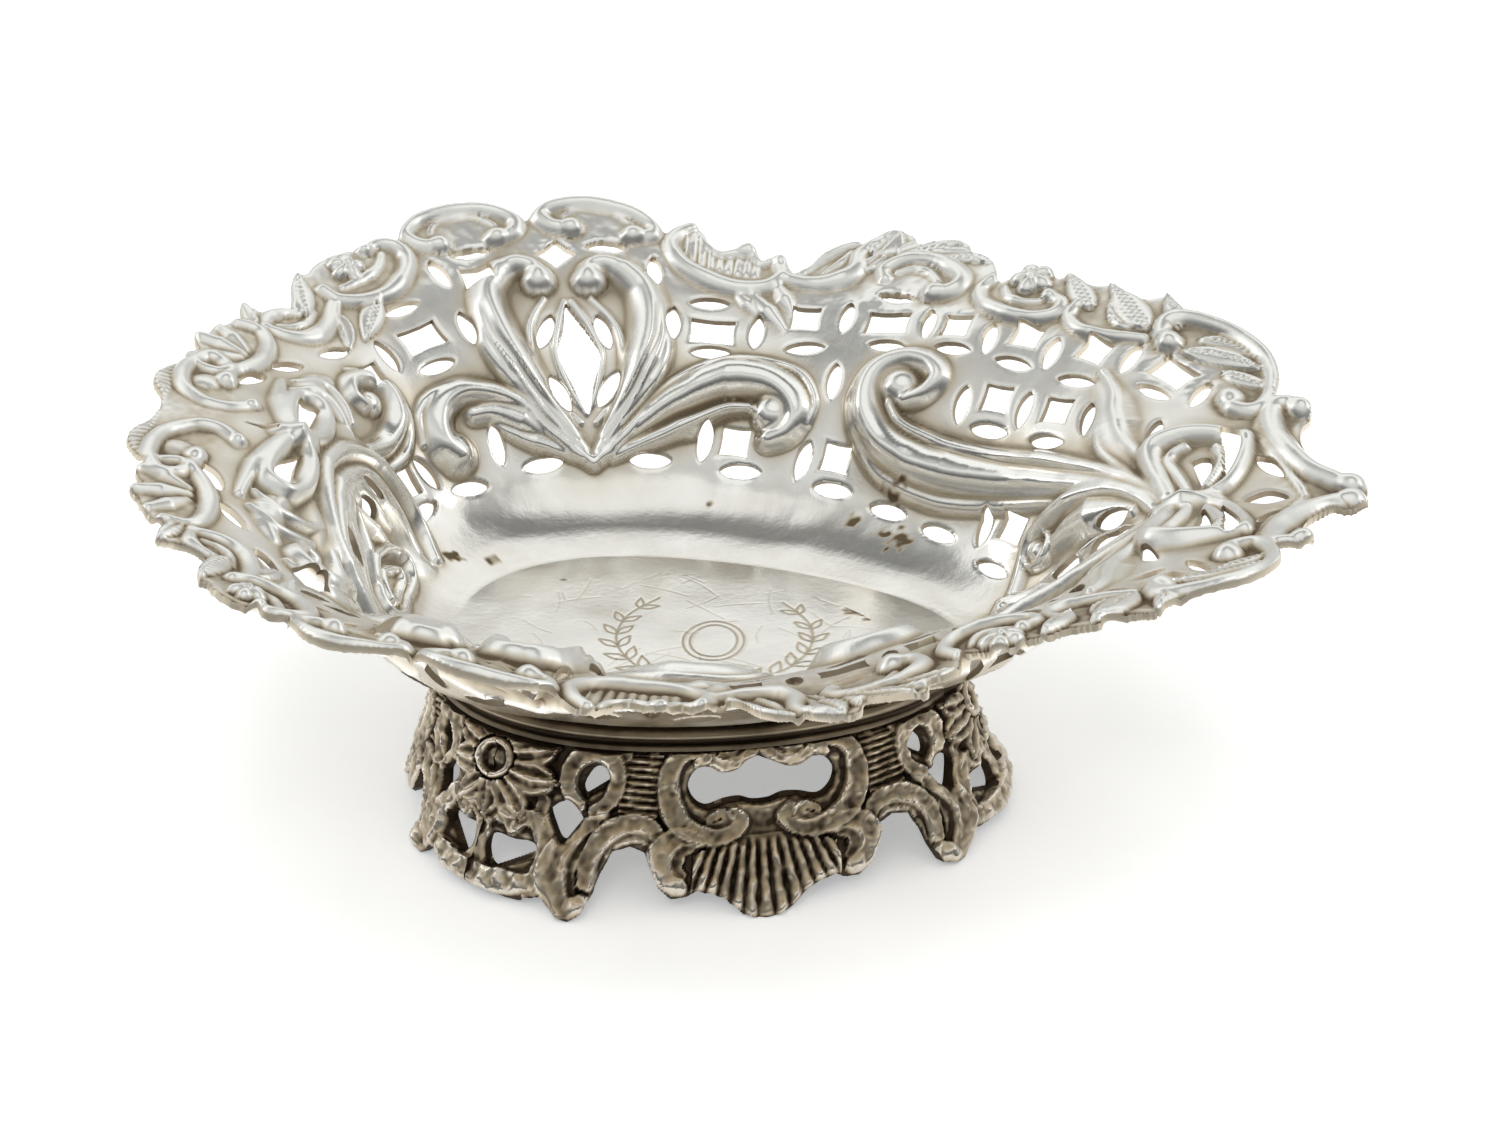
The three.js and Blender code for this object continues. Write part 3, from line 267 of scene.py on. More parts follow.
# Side medallion, mirrored about its own middle line: distance round from it, share up
MEDALLION_MIDDLE_SHARE = 0.375
MEDALLION_RIB_SHARES = [
    ([(0.004, 0.29), (0.024, 0.365), (0.043, 0.455), (0.057, 0.55), (0.062, 0.65), (0.058, 0.735),
     (0.045, 0.785)], (1.2, 3.5, 2.9), (1.0, 3.1, 2.4)),
    ([(0.02, 0.345), (0.046, 0.42), (0.066, 0.5), (0.076, 0.58), (0.075, 0.66)], (0.7, 1.6, 0.8), (0.7, 2.0,
     0.6)),
    ([(0.053, 0.76), (0.045, 0.785), (0.032, 0.8), (0.022, 0.79), (0.018, 0.765)], (2.7, 2.5, 2.2), (2.3,
     2.6, 2.4)),
    ([(0, 0.4), (0.013, 0.462), (0.0185, 0.55), (0.013, 0.62), (0.003, 0.69)], (0.6, 0.8, 0.7), (0.4, 0.6,
     0.5)),
    ([(0.008, 0.375), (0.033, 0.455), (0.0385, 0.55), (0.0345, 0.63), (0.018, 0.7)], (0.6, 0.9, 0.6), (0.4,
     0.6, 0.5)),
    ([(0, 0.272), (0.018, 0.305), (0.04, 0.36), (0.06, 0.43)], (1.4, 1.4, 0.8), (1.4, 1.5, 0.8)),
]
# Creases along its broad ribs: points, half width and depth in mm
MEDALLION_CREASE_SHARES = [
    ([(0.012, 0.33), (0.034, 0.41), (0.053, 0.5), (0.067, 0.6), (0.068, 0.7)], 0.8, 0.6),
]
MEDALLION_KNOB_SHARES = [(0.0185, 0.75, 3.0, 2.7)]

# Domes: share round, share up, radius and height in mm
KNOB_SHARES = [
    (0.052, 0.842, 1.8, 1.8), (0.044, 0.885, 2.2, 0.8), (0.301, 0.905, 2.0, 2.0), (0.339, 0.905, 2.0, 2.0),
    (0.389, 0.926, 2.0, 2.0), (0.428, 0.924, 2.0, 2.0), (0.637, 0.88, 2.1, 2.1), (0.81, 0.906, 2.2, 2.1),
    (0.884, 0.857, 2.2, 2.1), (0.914, 0.953, 2.2, 2.2), (0.991, 0.957, 2.3, 2.2), (0.503, 0.955, 2.0, 1.8),
    (0.527, 0.937, 1.7, 1.5), (0.549, 0.458, 3.3, 2.7), (0.235, 0.36, 2.9, 2.7), (0.655, 0.567, 3.3, 2.6),
    (0.163, 0.545, 2.3, 2.0), (0.895, 0.272, 2.0, 1.7), (0.252, 0.945, 1.4, 1.4), (0.713, 0.925, 1.4, 1.3),
    (0.027, 0.752, 1.3, 1.3),
]

# Leaves: points of the midrib, half width and height in mm, then 0 for veined, 1 for beaded, 2 for a petal
LEAF_SHARES = [
    ([(0.132, 0.885), (0.14, 0.93), (0.148, 0.966)], 1.6, 1.3, 0),
    ([(0.177, 0.83), (0.186, 0.89), (0.2, 0.962)], 2.4, 1.3, 1),
    ([(0.237, 0.79), (0.222, 0.745), (0.203, 0.695)], 2.0, 1.2, 1),
    ([(0.2, 0.795), (0.195, 0.74), (0.184, 0.69)], 1.5, 1.1, 0),
    ([(0.584, 1.0), (0.588, 1.055), (0.593, 1.108)], 3.2, 1.4, 0),
    ([(0.598, 1.01), (0.613, 1.055), (0.632, 1.095)], 2.8, 1.4, 0),
    ([(0.612, 1.01), (0.636, 1.035), (0.66, 1.02)], 2.2, 1.2, 0),
    ([(0.58, 0.94), (0.586, 0.98), (0.59, 1.03)], 1.6, 1.1, 0),
    ([(0.746, 0.915), (0.729, 0.96), (0.711, 1.01)], 2.0, 1.4, 1),
    ([(0.79, 0.915), (0.765, 0.962), (0.74, 1.014)], 2.5, 1.5, 1),
    ([(0.803, 0.955), (0.789, 1.0), (0.773, 1.046)], 1.8, 1.4, 1),
    ([(0.78, 0.9), (0.763, 0.925), (0.75, 0.965)], 1.5, 1.2, 0),
    ([(0.824, 0.9), (0.843, 0.94), (0.87, 0.972)], 2.0, 1.2, 1),
    ([(0.82, 0.952), (0.836, 0.985), (0.86, 0.99)], 1.5, 0.9, 1),
    ([(0.856, 0.905), (0.872, 0.925), (0.89, 0.945)], 1.5, 1.0, 1),
]

# Flowers: share round, share up, radius in mm
FLOWER_SHARES = [(0.232, 0.908, 3.1), (0.694, 0.968, 3.6)]

# Fluted edge beside the blunt end, and shell flutes: start and end round, lower height, flute pitch round
FLUTED_EDGE_SHARES = [(0.004, 0.056, 0.952, 0.0042), (0.462, 0.515, 0.85, 0.0062)]

# Foot, half a panel: share from its middle to its corner, share down from the collar
SKIRT_EDGE_SHARES = [
    (0, 1), (0.04, 0.992), (0.08, 0.95), (0.12, 0.885), (0.16, 0.85), (0.22, 0.825), (0.26, 0.85),
    (0.3, 0.855), (0.345, 0.8), (0.38, 0.7), (0.405, 0.605), (0.46, 0.575), (0.515, 0.605), (0.54, 0.72),
    (0.55, 0.86), (0.565, 0.96), (0.6, 1), (0.64, 0.995), (0.68, 0.94), (0.72, 0.89), (0.8, 0.92),
    (0.9, 0.935), (1, 0.935),
]
CORNER_SHARE = 0.265
SIDE_PANEL_MIDDLE_SHARE = 0.617
SKIRT_OPENING_SHARES = [
    [(0.0, 0.05), (0.05, 0.075), (0.09, 0.13), (0.15, 0.14), (0.2, 0.1), (0.25, 0.12), (0.275, 0.21),
     (0.255, 0.31), (0.205, 0.365), (0.14, 0.335), (0.08, 0.325), (0.03, 0.35), (-0.03, 0.35), (-0.08,
     0.325), (-0.14, 0.335), (-0.205, 0.365), (-0.255, 0.31), (-0.275, 0.21), (-0.25, 0.12), (-0.2, 0.1),
     (-0.15, 0.14), (-0.09, 0.13), (-0.05, 0.075)],
    [(0.57, 0.21), (0.59, 0.12), (0.63, 0.11), (0.66, 0.21), (0.65, 0.3), (0.6, 0.31)],
    [(0.635, 0.45), (0.7, 0.34), (0.765, 0.4), (0.73, 0.52), (0.69, 0.59), (0.65, 0.54)],
    [(0.78, 0.68), (0.8, 0.61), (0.88, 0.615), (0.955, 0.62), (0.97, 0.72), (0.93, 0.81), (0.85, 0.79)],
]
SKIRT_RIB_SHARES = [
    # C scroll round each end of the cartouche, with its lower curl
    ([(0.1, 0.4), (0.07, 0.45), (0.1, 0.51), (0.17, 0.54), (0.25, 0.5), (0.31, 0.42), (0.345, 0.28),
     (0.35, 0.14), (0.315, 0.03), (0.26, 0.0), (0.215, 0.03), (0.235, 0.075)], (0.8, 1.6, 0.8), (0.8, 1.4,
     0.9)),
    ([(0.19, 0.43), (0.15, 0.4), (0.12, 0.43), (0.14, 0.47), (0.19, 0.475)], (0.5, 0.8, 0.5), (0.5, 0.9,
     0.5)),
    ([(0.02, 0.0), (0.045, 0.04), (0.085, 0.09), (0.14, 0.1), (0.185, 0.06), (0.2, 0.0)], (0.7, 1.0, 0.7),
     (0.6, 0.9, 0.6)),
    ([(0.06, 0.0), (0.1, 0.045), (0.15, 0.03)], (0.5, 0.8, 0.5), (0.5, 0.7, 0.4)),
    # Lobe under it
    ([(0.22, 0.56), (0.28, 0.53), (0.33, 0.57), (0.35, 0.65), (0.33, 0.75), (0.28, 0.8)], (0.9, 1.7, 1.1),
     (0.8, 1.5, 0.9)),
    ([(0.25, 0.6), (0.285, 0.62), (0.295, 0.69), (0.27, 0.74)], (0.6, 1.1, 0.6), (0.6, 1.1, 0.6)),
    # Ring round the oval hole
    ([(0.6, 0.39), (0.555, 0.32), (0.545, 0.18), (0.575, 0.06), (0.63, 0.01), (0.69, 0.07), (0.715, 0.18),
     (0.7, 0.29), (0.66, 0.36)], (0.9, 1.4, 0.9), (0.9, 1.4, 0.9)),
    ([(0.555, 0.07), (0.53, 0.02), (0.56, -0.02)], (0.6, 0.9, 0.6), (0.6, 0.9, 0.5)),
    # Arch between the lobe and the foot
    ([(0.35, 0.6), (0.38, 0.49), (0.44, 0.45), (0.505, 0.47), (0.555, 0.54), (0.585, 0.66), (0.58, 0.8)],
     (0.9, 1.4, 1.0), (0.8, 1.4, 0.9)),
    ([(0.39, 0.56), (0.44, 0.525), (0.5, 0.55), (0.53, 0.62)], (0.5, 0.8, 0.5), (0.4, 0.8, 0.4)),
    # The foot's own scroll
    ([(0.6, 0.46), (0.645, 0.52), (0.685, 0.62), (0.7, 0.74), (0.675, 0.87), (0.625, 0.95), (0.58, 0.92)],
     (1.0, 2.1, 1.6), (0.9, 1.8, 1.2)),
    ([(0.6, 0.56), (0.635, 0.63), (0.645, 0.74), (0.62, 0.85)], (0.6, 1.2, 0.7), (0.6, 1.3, 0.6)),
    # Stems and garland round the corner holes
    ([(0.79, 0.36), (0.785, 0.46), (0.745, 0.57), (0.735, 0.7), (0.75, 0.82), (0.76, 0.9)], (0.8, 1.4, 1.0),
     (0.7, 1.4, 0.9)),
    ([(0.98, 0.55), (0.945, 0.5), (0.9, 0.52), (0.885, 0.575)], (0.8, 1.3, 0.8), (0.9, 1.4, 0.8)),
    ([(0.865, 0.55), (0.835, 0.49), (0.795, 0.5), (0.77, 0.58)], (0.8, 1.2, 0.8), (0.8, 1.3, 0.7)),
    ([(0.76, 0.83), (0.83, 0.855), (0.92, 0.875), (1, 0.88)], (1.1, 1.6, 1.6), (1.0, 1.6, 1.4)),
    ([(0.99, 0.58), (0.985, 0.7), (0.975, 0.83)], (0.8, 0.9, 0.8), (0.7, 0.9, 0.7)),
]
SKIRT_KNOB_SHARES = [
    (0.595, 0.93, 2.0, 1.8), (0.29, 0.79, 1.7, 1.4), (0.57, 0.41, 1.3, 1.3), (0.8, 0.855, 1.6, 1.5),
    (0.87, 0.865, 1.5, 1.5), (0.94, 0.88, 1.5, 1.4), (0.42, 0.02, 1.0, 0.6), (0.49, 0.44, 1.1, 0.9),
]
SKIRT_LEAF_SHARES = [
    ([(0.99, 0.14), (0.9, 0.09), (0.77, 0.03)], 3.1, 1.7, 2),
    ([(0.99, 0.2), (0.88, 0.24), (0.755, 0.25)], 3.2, 1.8, 2),
    ([(0.995, 0.25), (0.93, 0.38), (0.85, 0.5)], 3.1, 1.7, 2),
    ([(0.99, 0.12), (0.93, 0.0), (0.88, -0.06)], 2.6, 1.5, 2),
    ([(1, 0.12), (1, 0.02), (1, -0.06)], 2.6, 1.5, 2),
    ([(1, 0.25), (1, 0.4), (1, 0.54)], 2.8, 1.6, 2),
]
CORNER_RING_RADIUS = 2.5
CORNER_RING_DEPTH_SHARE = 0.18

# How finely the sheets are cut: bounds of the bowl's rows as shares of the wall's height, counts and steps
FLOOR_EDGE_SHARE, FLOOR_EDGE_ROWS = -0.24, 9
PLAIN_TOP_SHARE, PLAIN_ROWS = 0.08, 7
WORKED_FROM_SHARE, GRID_TOP_SHARE, ROW_STEP_SHARE = 0.086, 1.125, 0.0056
BOWL_COLUMNS = 760
BOWL_SECTORS = 6
FLOOR_COLUMNS = 330
FLOOR_RINGS = 128
SKIRT_COLUMN_STEP = 0.26
SKIRT_ROWS = 84
COLLAR_COLUMNS = 420
LOOK_UP_STEPS = 720
LINE_STEPS = 6

# Length up the wall in mm. Its rows are spaced evenly for this share of its reach, and the foot's columns on
# the plan this share of the way from the collar's to the ground's
WALL_LENGTH = 60.0
PROFILE_REACH_SHARE = 0.9
SKIRT_SPAN_SHARE = 0.5

# Gains on the half widths and heights of ribs, leaves and domes, and the powers of the ribs' round sections
WALL_RIB_GAIN, WALL_HEIGHT_GAIN, WALL_ROUNDNESS = 1.34, 1.08, 1.5
MEDALLION_GAIN = 1.15
RIM_RIB_GAIN, RIM_HEIGHT_GAIN, RIM_ROUNDNESS = 1.22, 0.82, 1.1
FOOT_RIB_GAIN, FOOT_HEIGHT_GAIN = 1.4, 1.25
LEAF_GAIN = 0.72
KNOB_GAIN, KNOB_HEIGHT_GAIN = 1.08, 0.84

# Relief in mm: round in the crease where two forms meet, flutes, rolled edges, and layers of noise, each with
# its height, the cells it is blurred over and its seed
WELL_INSIDE = 50.0
JOIN_ROUND = 1.1
FLUTE_HEIGHT = 0.4
BOWL_ROLL, SKIRT_ROLL = 0.8, 0.9
RIM_ROLL_SHARE, PIERCING_ROLL_SHARE = 0.6, 0.25
SKIRT_SINK = 0.3
EDGE_CALM = 1.6
HOOP_HEIGHT, HOOP_HALF_WIDTH, EYE_HEIGHT = 2.1, 0.8, 1.1
SHEET_NOISE = [(0.035, 4.5, 3), (0.11, 15, 4)]
RIM_NOISE = [(0.022, 1.1, 5), (0.085, 3.4, 6)]
FOOT_NOISE = [(0.08, 1.2, 21), (0.15, 3.6, 22)]

# Where work on the wall begins and over what height it sets in: noise, matting, and the rim's stain with its
# painted light and shade, as shares up
NOISE_RISE_SHARES, MATTED_RISE_SHARES, RIM_STAIN_AND_SHADE_RISE_SHARES = (0.1, 0.2), (0.77, 0.07), (0.72, 0.12)
FLUTE_RISE_SHARE = 0.02
RIM_LOW_SHARE, FLUTES_END_SHARE = 0.86, 1.1

# Ribbed bands beside the foot's cartouche, from and to across, then from and to down, and the shell under it
BAND_SHARES, BAND_PITCH_SHARE, BAND_SLANT_SHARE = (0.375, 0.525, 0.015, 0.41), 0.047, 0.12
SHELL_TOP_SHARE, SHELL_HALF_SHARE, SHELL_FLUTE_SHARE, SHELL_TIER_SHARE = 0.54, 0.24, 0.036, 0.17

# Tone: 0 is plain silver, below it is stain and above it wear; it also carries painted shade on cut edges,
# back faces and the rim's front, and painted light on the rim's rear. Blurs in cells, and heights in mm
NEAR_CELLS, NEAR_WEIGHT = 1.5, 1.35
WIDE_CELLS, WIDE_WEIGHT = 7.0, 0.38
DEEPEST_TONE = -0.46
# Back face: darker by a fixed step of painted shade, and the front's relief tone turned over at this gain
UNDERSIDE_SHADE, UNDERSIDE_GAIN = -0.22, 0.6
# Painted shade on the sheets' cut edges, and a lighter painted shade on the rim above this level in mm
CUT_EDGE_SHADE = -0.5
RIM_CUT_EDGE_SHADE, RIM_EDGE_LEVEL = -0.24, 51.0
# Rim tone: lifted by the first number and lowered towards the front by the second, as tarnish with painted
# light at the rear and painted shade along the front
RIM_TONE, RIM_STAIN_AND_FRONT_SHADE = 0.11, 0.4
FLOOR_TONE, ENGRAVED_STAIN, SCRATCH_STAIN = 0.02, 0.42, 0.12
WALL_TARNISH, FLOOR_TARNISH = 0.75, 0.55
WALL_BLOTCH_CELLS, FLOOR_BLOTCH_CELLS = (2.2, 1.2), (1.2, 1.8)
WALL_BLOTCH_SEED, FLOOR_BLOTCH_SEED, SCRATCH_SEED = 8, 9, 12

# Tarnish: share round, share up and radius in mm on the wall, then plan point and radius in mm on the floor
SPOT_SHARES = [
    (0.702, 0.178, 1.5), (0.722, 0.175, 2.5), (0.69, 0.285, 2.6), (0.658, 0.203, 1.2), (0.2, 0.06, 1.3),
    (0.16, 0.12, 1.6), (0.5, 0.2, 0.9), (1.31, 0.16, 2.2), (1.62, 0.24, 1.4),
]
FLOOR_SPOTS = [(13.2, 7.3, 2.0), (15.0, 4.6, 1.0), (-40.0, 4.0, 2.6), (-30.0, 14.0, 1.2)]

# Engraving on the floor, mirrored about its own middle line, in mm: an oval between two leafy sprigs
ENGRAVING_MIDDLE = np.array([-6.5, -3.5])
ENGRAVING_OVALS = [(4.4, 5.8), (3.4, 4.7)]
SPRIG_POINTS = [(-2.5, -15.5), (4.0, -12.5), (10.5, -8.0), (14.0, -1.0), (13.2, 6.5), (9.0, 12.5)]
SPRIG_LEAVES, SPRIG_LEAF_LENGTH = 8, 4.6
LEAVES_FROM_SHARE, LEAVES_TO_SHARE, LEAF_TAPER_SHARE = 0.16, 0.9, 0.05
LEAF_LEAN_DEGREES, LEAF_BEND_DEGREES = 38, 22
ENGRAVED_HALF_WIDTH, ENGRAVED_DEPTH = 0.25, 0.07
SCRATCHES = 110
SCRATCH_HALF_WIDTH, SCRATCH_DEPTH = 0.17, 0.02
SCRATCH_FIELD = ((-44, -21), (28, 21))
SCRATCH_REACH, SCRATCH_BEND = (0.6, 4.0), (-0.5, 0.5)


# Surfaces

def smooth_line(points, steps=LINE_STEPS):
    """Curve through the points, so many steps per span. Each span is a cubic whose slope at a point is half
    the way from the point before to the point after. The end points count twice."""
    points = np.asarray(points, float)
    spans = len(points) - 1
    place = np.linspace(0, spans, spans * steps + 1)
    first = np.minimum(place.astype(int), spans - 1)
    part = (place - first)[:, None]
    before, start = points[np.maximum(first - 1, 0)], points[first]
    end, after = points[first + 1], points[np.minimum(first + 2, spans)]
    return 0.5 * (2 * start + (end - before) * part + (2 * before - 5 * start + 4 * end - after) * part ** 2
                  + (3 * start - before - 3 * end + after) * part ** 3)


def closed_line(points, steps):
    """The same curve round an outline, from its first corner to one step past its last but one. What uses it
    closes it with a straight line, so the last corner only sets the slope at the first."""
    points = list(points)
    return smooth_line(points[-2:] + points + points[:2], steps)[2 * steps:len(points) * steps + 2]


def spread(values, x):
    """Values at equal steps from 0 to 1, joined by the smooth curve and read at x."""
    line = smooth_line(list(enumerate(values)), 24)
    return np.interp(np.asarray(x) * (len(values) - 1), line[:, 0], line[:, 1])


def ease(x):
    """3x squared less 2x cubed, held between 0 and 1."""
    x = np.clip(x, 0, 1)
    return x * x * (3 - 2 * x)


def rising(x, start, span):
    """0 up to the start, eased to 1 over the span."""
    return ease((x - start) / span)


def unit(vectors):
    """Vectors divided by their lengths."""
    return vectors / np.maximum(np.linalg.norm(vectors, axis=-1, keepdims=True), 1e-9)


def turned(x, y, degrees):
    """Coordinates on axes that are turned anticlockwise by so many degrees."""
    angle = np.radians(degrees)
    return x * np.cos(angle) + y * np.sin(angle), y * np.cos(angle) - x * np.sin(angle)


def beside(points, side, middle=0):
    """Points whose first coordinate counts from a middle line, on its side 1 or mirrored on its side -1."""
    return [(middle + side * x, y) for x, y in points]


def plan_point(plan, turn):
    """Half an egg from the blunt end to the tip: x = widest + reach |cos|^(2/power), y = half width
    |sin|^(2/power)."""
    angle = np.pi * turn
    back = turn <= 0.5
    power = 2 / np.where(back, plan["back_power"], plan["front_power"])
    reach = np.where(back, plan["back"], plan["front"]) - plan["widest"]
    return (plan["widest"] + reach * np.abs(np.cos(angle)) ** power,
            plan["half_width"] * np.abs(np.sin(angle)) ** power)


def between(inner, outer, turn, reach):
    """Point at a turn so far of the way from one plan to another."""
    (inner_x, inner_y), (outer_x, outer_y) = plan_point(inner, turn), plan_point(outer, turn)
    return inner_x + (outer_x - inner_x) * reach, inner_y + (outer_y - inner_y) * reach


def shares_along(across, up):
    """Share of a line's length at each of its points, from its steps."""
    length = np.append(0, np.cumsum(np.hypot(across, up)))
    return length / length[-1]


def even_turn(inner, outer, reach):
    """Table of turn against share of length round a plan between two others."""
    turn = np.linspace(0, 1, LOOK_UP_STEPS + 1)
    x, y = between(inner, outer, turn, reach)
    return shares_along(np.diff(x), np.diff(y)), turn


def even_profile(points):
    """Out and up shares of a wall profile against share of its length."""
    line = smooth_line(points, 40)
    span = (RIM_PLAN["half_width"] - FLOOR_PLAN["half_width"]) * PROFILE_REACH_SHARE
    return shares_along(np.diff(line[:, 0]) * span, np.diff(line[:, 1]) * RIM_RISE), line


WALL_TURN = even_turn(FLOOR_PLAN, RIM_PLAN, WALL_SPAN_SHARE)
SKIRT_TURN = even_turn(COLLAR_PLAN, GROUND_PLAN, SKIRT_SPAN_SHARE)
SIDE_PROFILE = even_profile(SIDE_PROFILE_SHARES)
END_PROFILE = even_profile(END_PROFILE_SHARES)


def fold_round(around):
    """Share of one half, and +1 on the rear half or -1 on the front half, from a share past either end."""
    wrapped = np.mod(around, 2)
    return np.where(wrapped <= 1, wrapped, 2 - wrapped), np.where(wrapped <= 1, 1, -1)


def bowl_point(around, height):
    """Inner face of the bowl: floor plan to rim plan by the profile's reach, floor to rim by its rise. Below
    height 0 it runs in over the flat floor, towards the middle. Above 1 it flares straight out and up."""
    around, height = np.broadcast_arrays(np.asarray(around, float), np.asarray(height, float))
    share, side = fold_round(around)
    turn = np.interp(share, *WALL_TURN)
    ends = ease((BACK_END_SHARE - share) / BACK_END_SHARE) + ease((share - 1 + TIP_END_SHARE) / TIP_END_SHARE)
    out, up = [np.interp(height, SIDE_PROFILE[0], SIDE_PROFILE[1][:, k]) * (1 - ends)
               + np.interp(height, END_PROFILE[0], END_PROFILE[1][:, k]) * ends for k in (0, 1)]
    past = np.maximum(height - 1, 0)
    bend = np.where(side < 0, spread(FRONT_BEND_SHARES, share), 0)
    inward = np.maximum(-height, 0)
    inner_x, inner_y = plan_point(FLOOR_PLAN, turn)
    x, y = between(FLOOR_PLAN, RIM_PLAN, turn, out * (1 + bend * out) + past * FLARE_OUT_SHARE)
    z = FLOOR_HEIGHT + RIM_RISE * spread(RIM_RISE_SHARES, share) * (up + past * FLARE_UP_SHARE)
    return np.stack([x + (FLOOR_PLAN["widest"] - inner_x) * inward, (y - inner_y * inward) * side, z], -1)


def skirt_point(around, depth):
    """Outer face of the foot: collar plan to ground plan, bowed in by a half sine, and evenly down."""
    around, depth = np.broadcast_arrays(np.asarray(around, float), np.asarray(depth, float))
    share, side = fold_round(around)
    flare = depth - SKIRT_BOW_SHARE * np.sin(np.pi * np.clip(depth, 0, 1))
    x, y = between(COLLAR_PLAN, GROUND_PLAN, np.interp(share, *SKIRT_TURN), flare)
    return np.stack([x, y * side, SKIRT_TOP * (1 - depth)], -1)


# Relief: each function raises or lowers part of a sheet's grid

class Sheet:
    """A grid on a curved surface: its points, its two coordinates, its relief and how far inside the metal it
    is, both in mm."""

    def __init__(self, point, across, up):
        self.point, self.across, self.up = point, across, up
        self.place = point(across[:, None], up[None, :])
        self.normal = unit(np.cross(np.gradient(self.place, axis=0), np.gradient(self.place, axis=1)))
        self.relief = np.zeros(self.place.shape[:2])
        self.metal = np.full(self.place.shape[:2], WELL_INSIDE)

    def window(self, across, up, reach):
        """Rows and columns whose points can lie within reach of these coordinates, with a third to spare."""
        middle, step = (float(np.mean(across)), float(np.mean(up))), 0.01
        box = []
        for k, (grid, wanted) in enumerate(((self.across, across), (self.up, up))):
            beyond = self.point(middle[0] + step * (k == 0), middle[1] + step * (k == 1))
            stretch = np.linalg.norm(beyond - self.point(*middle)) / step
            margin = 1.35 * reach / max(stretch, 1)
            box.append(slice(*np.searchsorted(grid, (np.min(wanted) - margin, np.max(wanted) + margin))))
        return tuple(box)

    def measure(self, line, reach):
        """Window, then distance to a line, share along it, signed distance across it and its length in mm."""
        line = np.asarray(line, float)
        box = self.window(line[:, 0], line[:, 1], reach)
        points = self.point(line[:, 0], line[:, 1])
        start, step = points[:-1], np.diff(points, axis=0)
        lengths = np.maximum(np.linalg.norm(step, axis=1), 1e-6)
        offset = self.place[box][:, :, None, :] - start
        part = np.clip(np.einsum("abmk,mk->abm", offset, step) / lengths ** 2, 0, 1)
        gap = offset - part[..., None] * step
        square = np.einsum("abmk,abmk->abm", gap, gap)
        best = square.argmin(axis=2)
        rows, columns = np.indices(best.shape)
        before = np.append(0, np.cumsum(lengths))[:-1]
        share = (before[best] + part[rows, columns, best] * lengths[best]) / lengths.sum()
        sideways = np.cross(self.normal[box], step[best] / lengths[best][..., None])
        across = np.einsum("abk,abk->ab", gap[rows, columns, best], sideways)
        return box, np.sqrt(square[rows, columns, best]), share, across, lengths.sum()

    def local(self, across, up, reach):
        """Window, and distances along and up the surface from one point of it, in mm."""
        middle, step = self.point(across, up), 0.002
        along = unit(self.point(across + step, up) - self.point(across - step, up))
        rise = self.point(across, up + step) - self.point(across, up - step)
        rise = unit(rise - along * np.dot(rise, along))
        box = self.window(across, up, reach)
        offset = self.place[box] - middle
        return box, offset @ along, offset @ rise

    def raise_to(self, box, height):
        """Higher of the relief and this height, with the crease between the two filled by a small round."""
        old = self.relief[box]
        reach = np.minimum(JOIN_ROUND, np.maximum(height, 1e-6))
        fill = 0.25 * reach * np.clip(1 - np.abs(old - height) / reach, 0, 1) ** 2
        self.relief[box] = np.where(height > 0, np.maximum(old, height) + fill, old)

    def ribs(self, rows, gain, height_gain, section, side=1, middle=0):
        """Ridges: height times a section of distance / half width. Both sizes go evenly from start to middle
        to end."""
        for points, widths, heights in rows:
            widths, heights = np.multiply(widths, gain), np.multiply(heights, height_gain)
            line = smooth_line(beside(points, side, middle))
            box, distance, share, _, _ = self.measure(line, max(widths))
            width, height = [np.interp(share, (0, 0.5, 1), sizes) for sizes in (widths, heights)]
            self.raise_to(box, height * section(distance / width))

    def knobs(self, rows, gain=1, height_gain=1, side=1, middle=0):
        """Domes: height (1 - (distance / radius)^2)^0.8."""
        for across, up, radius, height in rows:
            radius = radius * gain
            box, x, y = self.local(middle + side * across, up, radius)
            self.raise_to(box, height * height_gain * np.clip(1 - (x * x + y * y) / radius ** 2, 0, 1) ** 0.8)

    def leaves(self, rows, height_gain=1, side=1):
        """Leaves: half width times sin(pi share^0.75)^0.8 and a round section. Kind 0 has a sunk midrib with
        veins as slanted cosine waves 1.3 mm apart, kind 1 dents along its midrib about 1.05 mm apart. Kind 2
        is a petal: half width times sin(pi share^1.5)^0.55, broadest near its tip, with flutes along it."""
        for points, half_width, height, kind in rows:
            box, distance, share, across, length = self.measure(smooth_line(beside(points, side)), half_width)
            swell, blunt = (1.5, 0.55) if kind == 2 else (0.75, 0.8)
            outline = np.sin(np.pi * np.clip(share, 0.01, 0.99) ** swell) ** blunt
            width = np.maximum(half_width * outline, 0.05)
            blade = height * height_gain * np.clip(1 - (distance / width) ** 2, 0, 1) ** 0.5
            body = ease(blade / 0.5)
            if kind == 2:
                blade += 0.3 * np.cos(2 * np.pi * across / (0.62 * width)) * body
            elif kind == 1:
                pitch = length / max(round(length / 1.05), 1)
                along = np.mod(share * length, pitch) - pitch / 2
                dents = 0.14 + 0.2 * np.cos(2 * np.pi * along / pitch)
                blade -= dents * np.exp(-(across / 0.4) ** 2) * body
            else:
                veins = np.cos(2 * np.pi * (share * length + np.abs(across)) / 1.3)
                blade += 0.06 * veins * body * (np.abs(across) > 0.5)
                blade -= 0.45 * np.exp(-(across / 0.45) ** 2) * body
            self.raise_to(box, blade)

    def crease(self, points, half_width, depth):
        """Furrow: depth (1 - (distance / half width)^2), tapering to its ends by a half sine."""
        box, distance, share, _, _ = self.measure(smooth_line(points), half_width)
        furrow = depth * np.clip(1 - (distance / half_width) ** 2, 0, 1)
        self.relief[box] -= furrow * np.sin(np.pi * share) ** 0.5

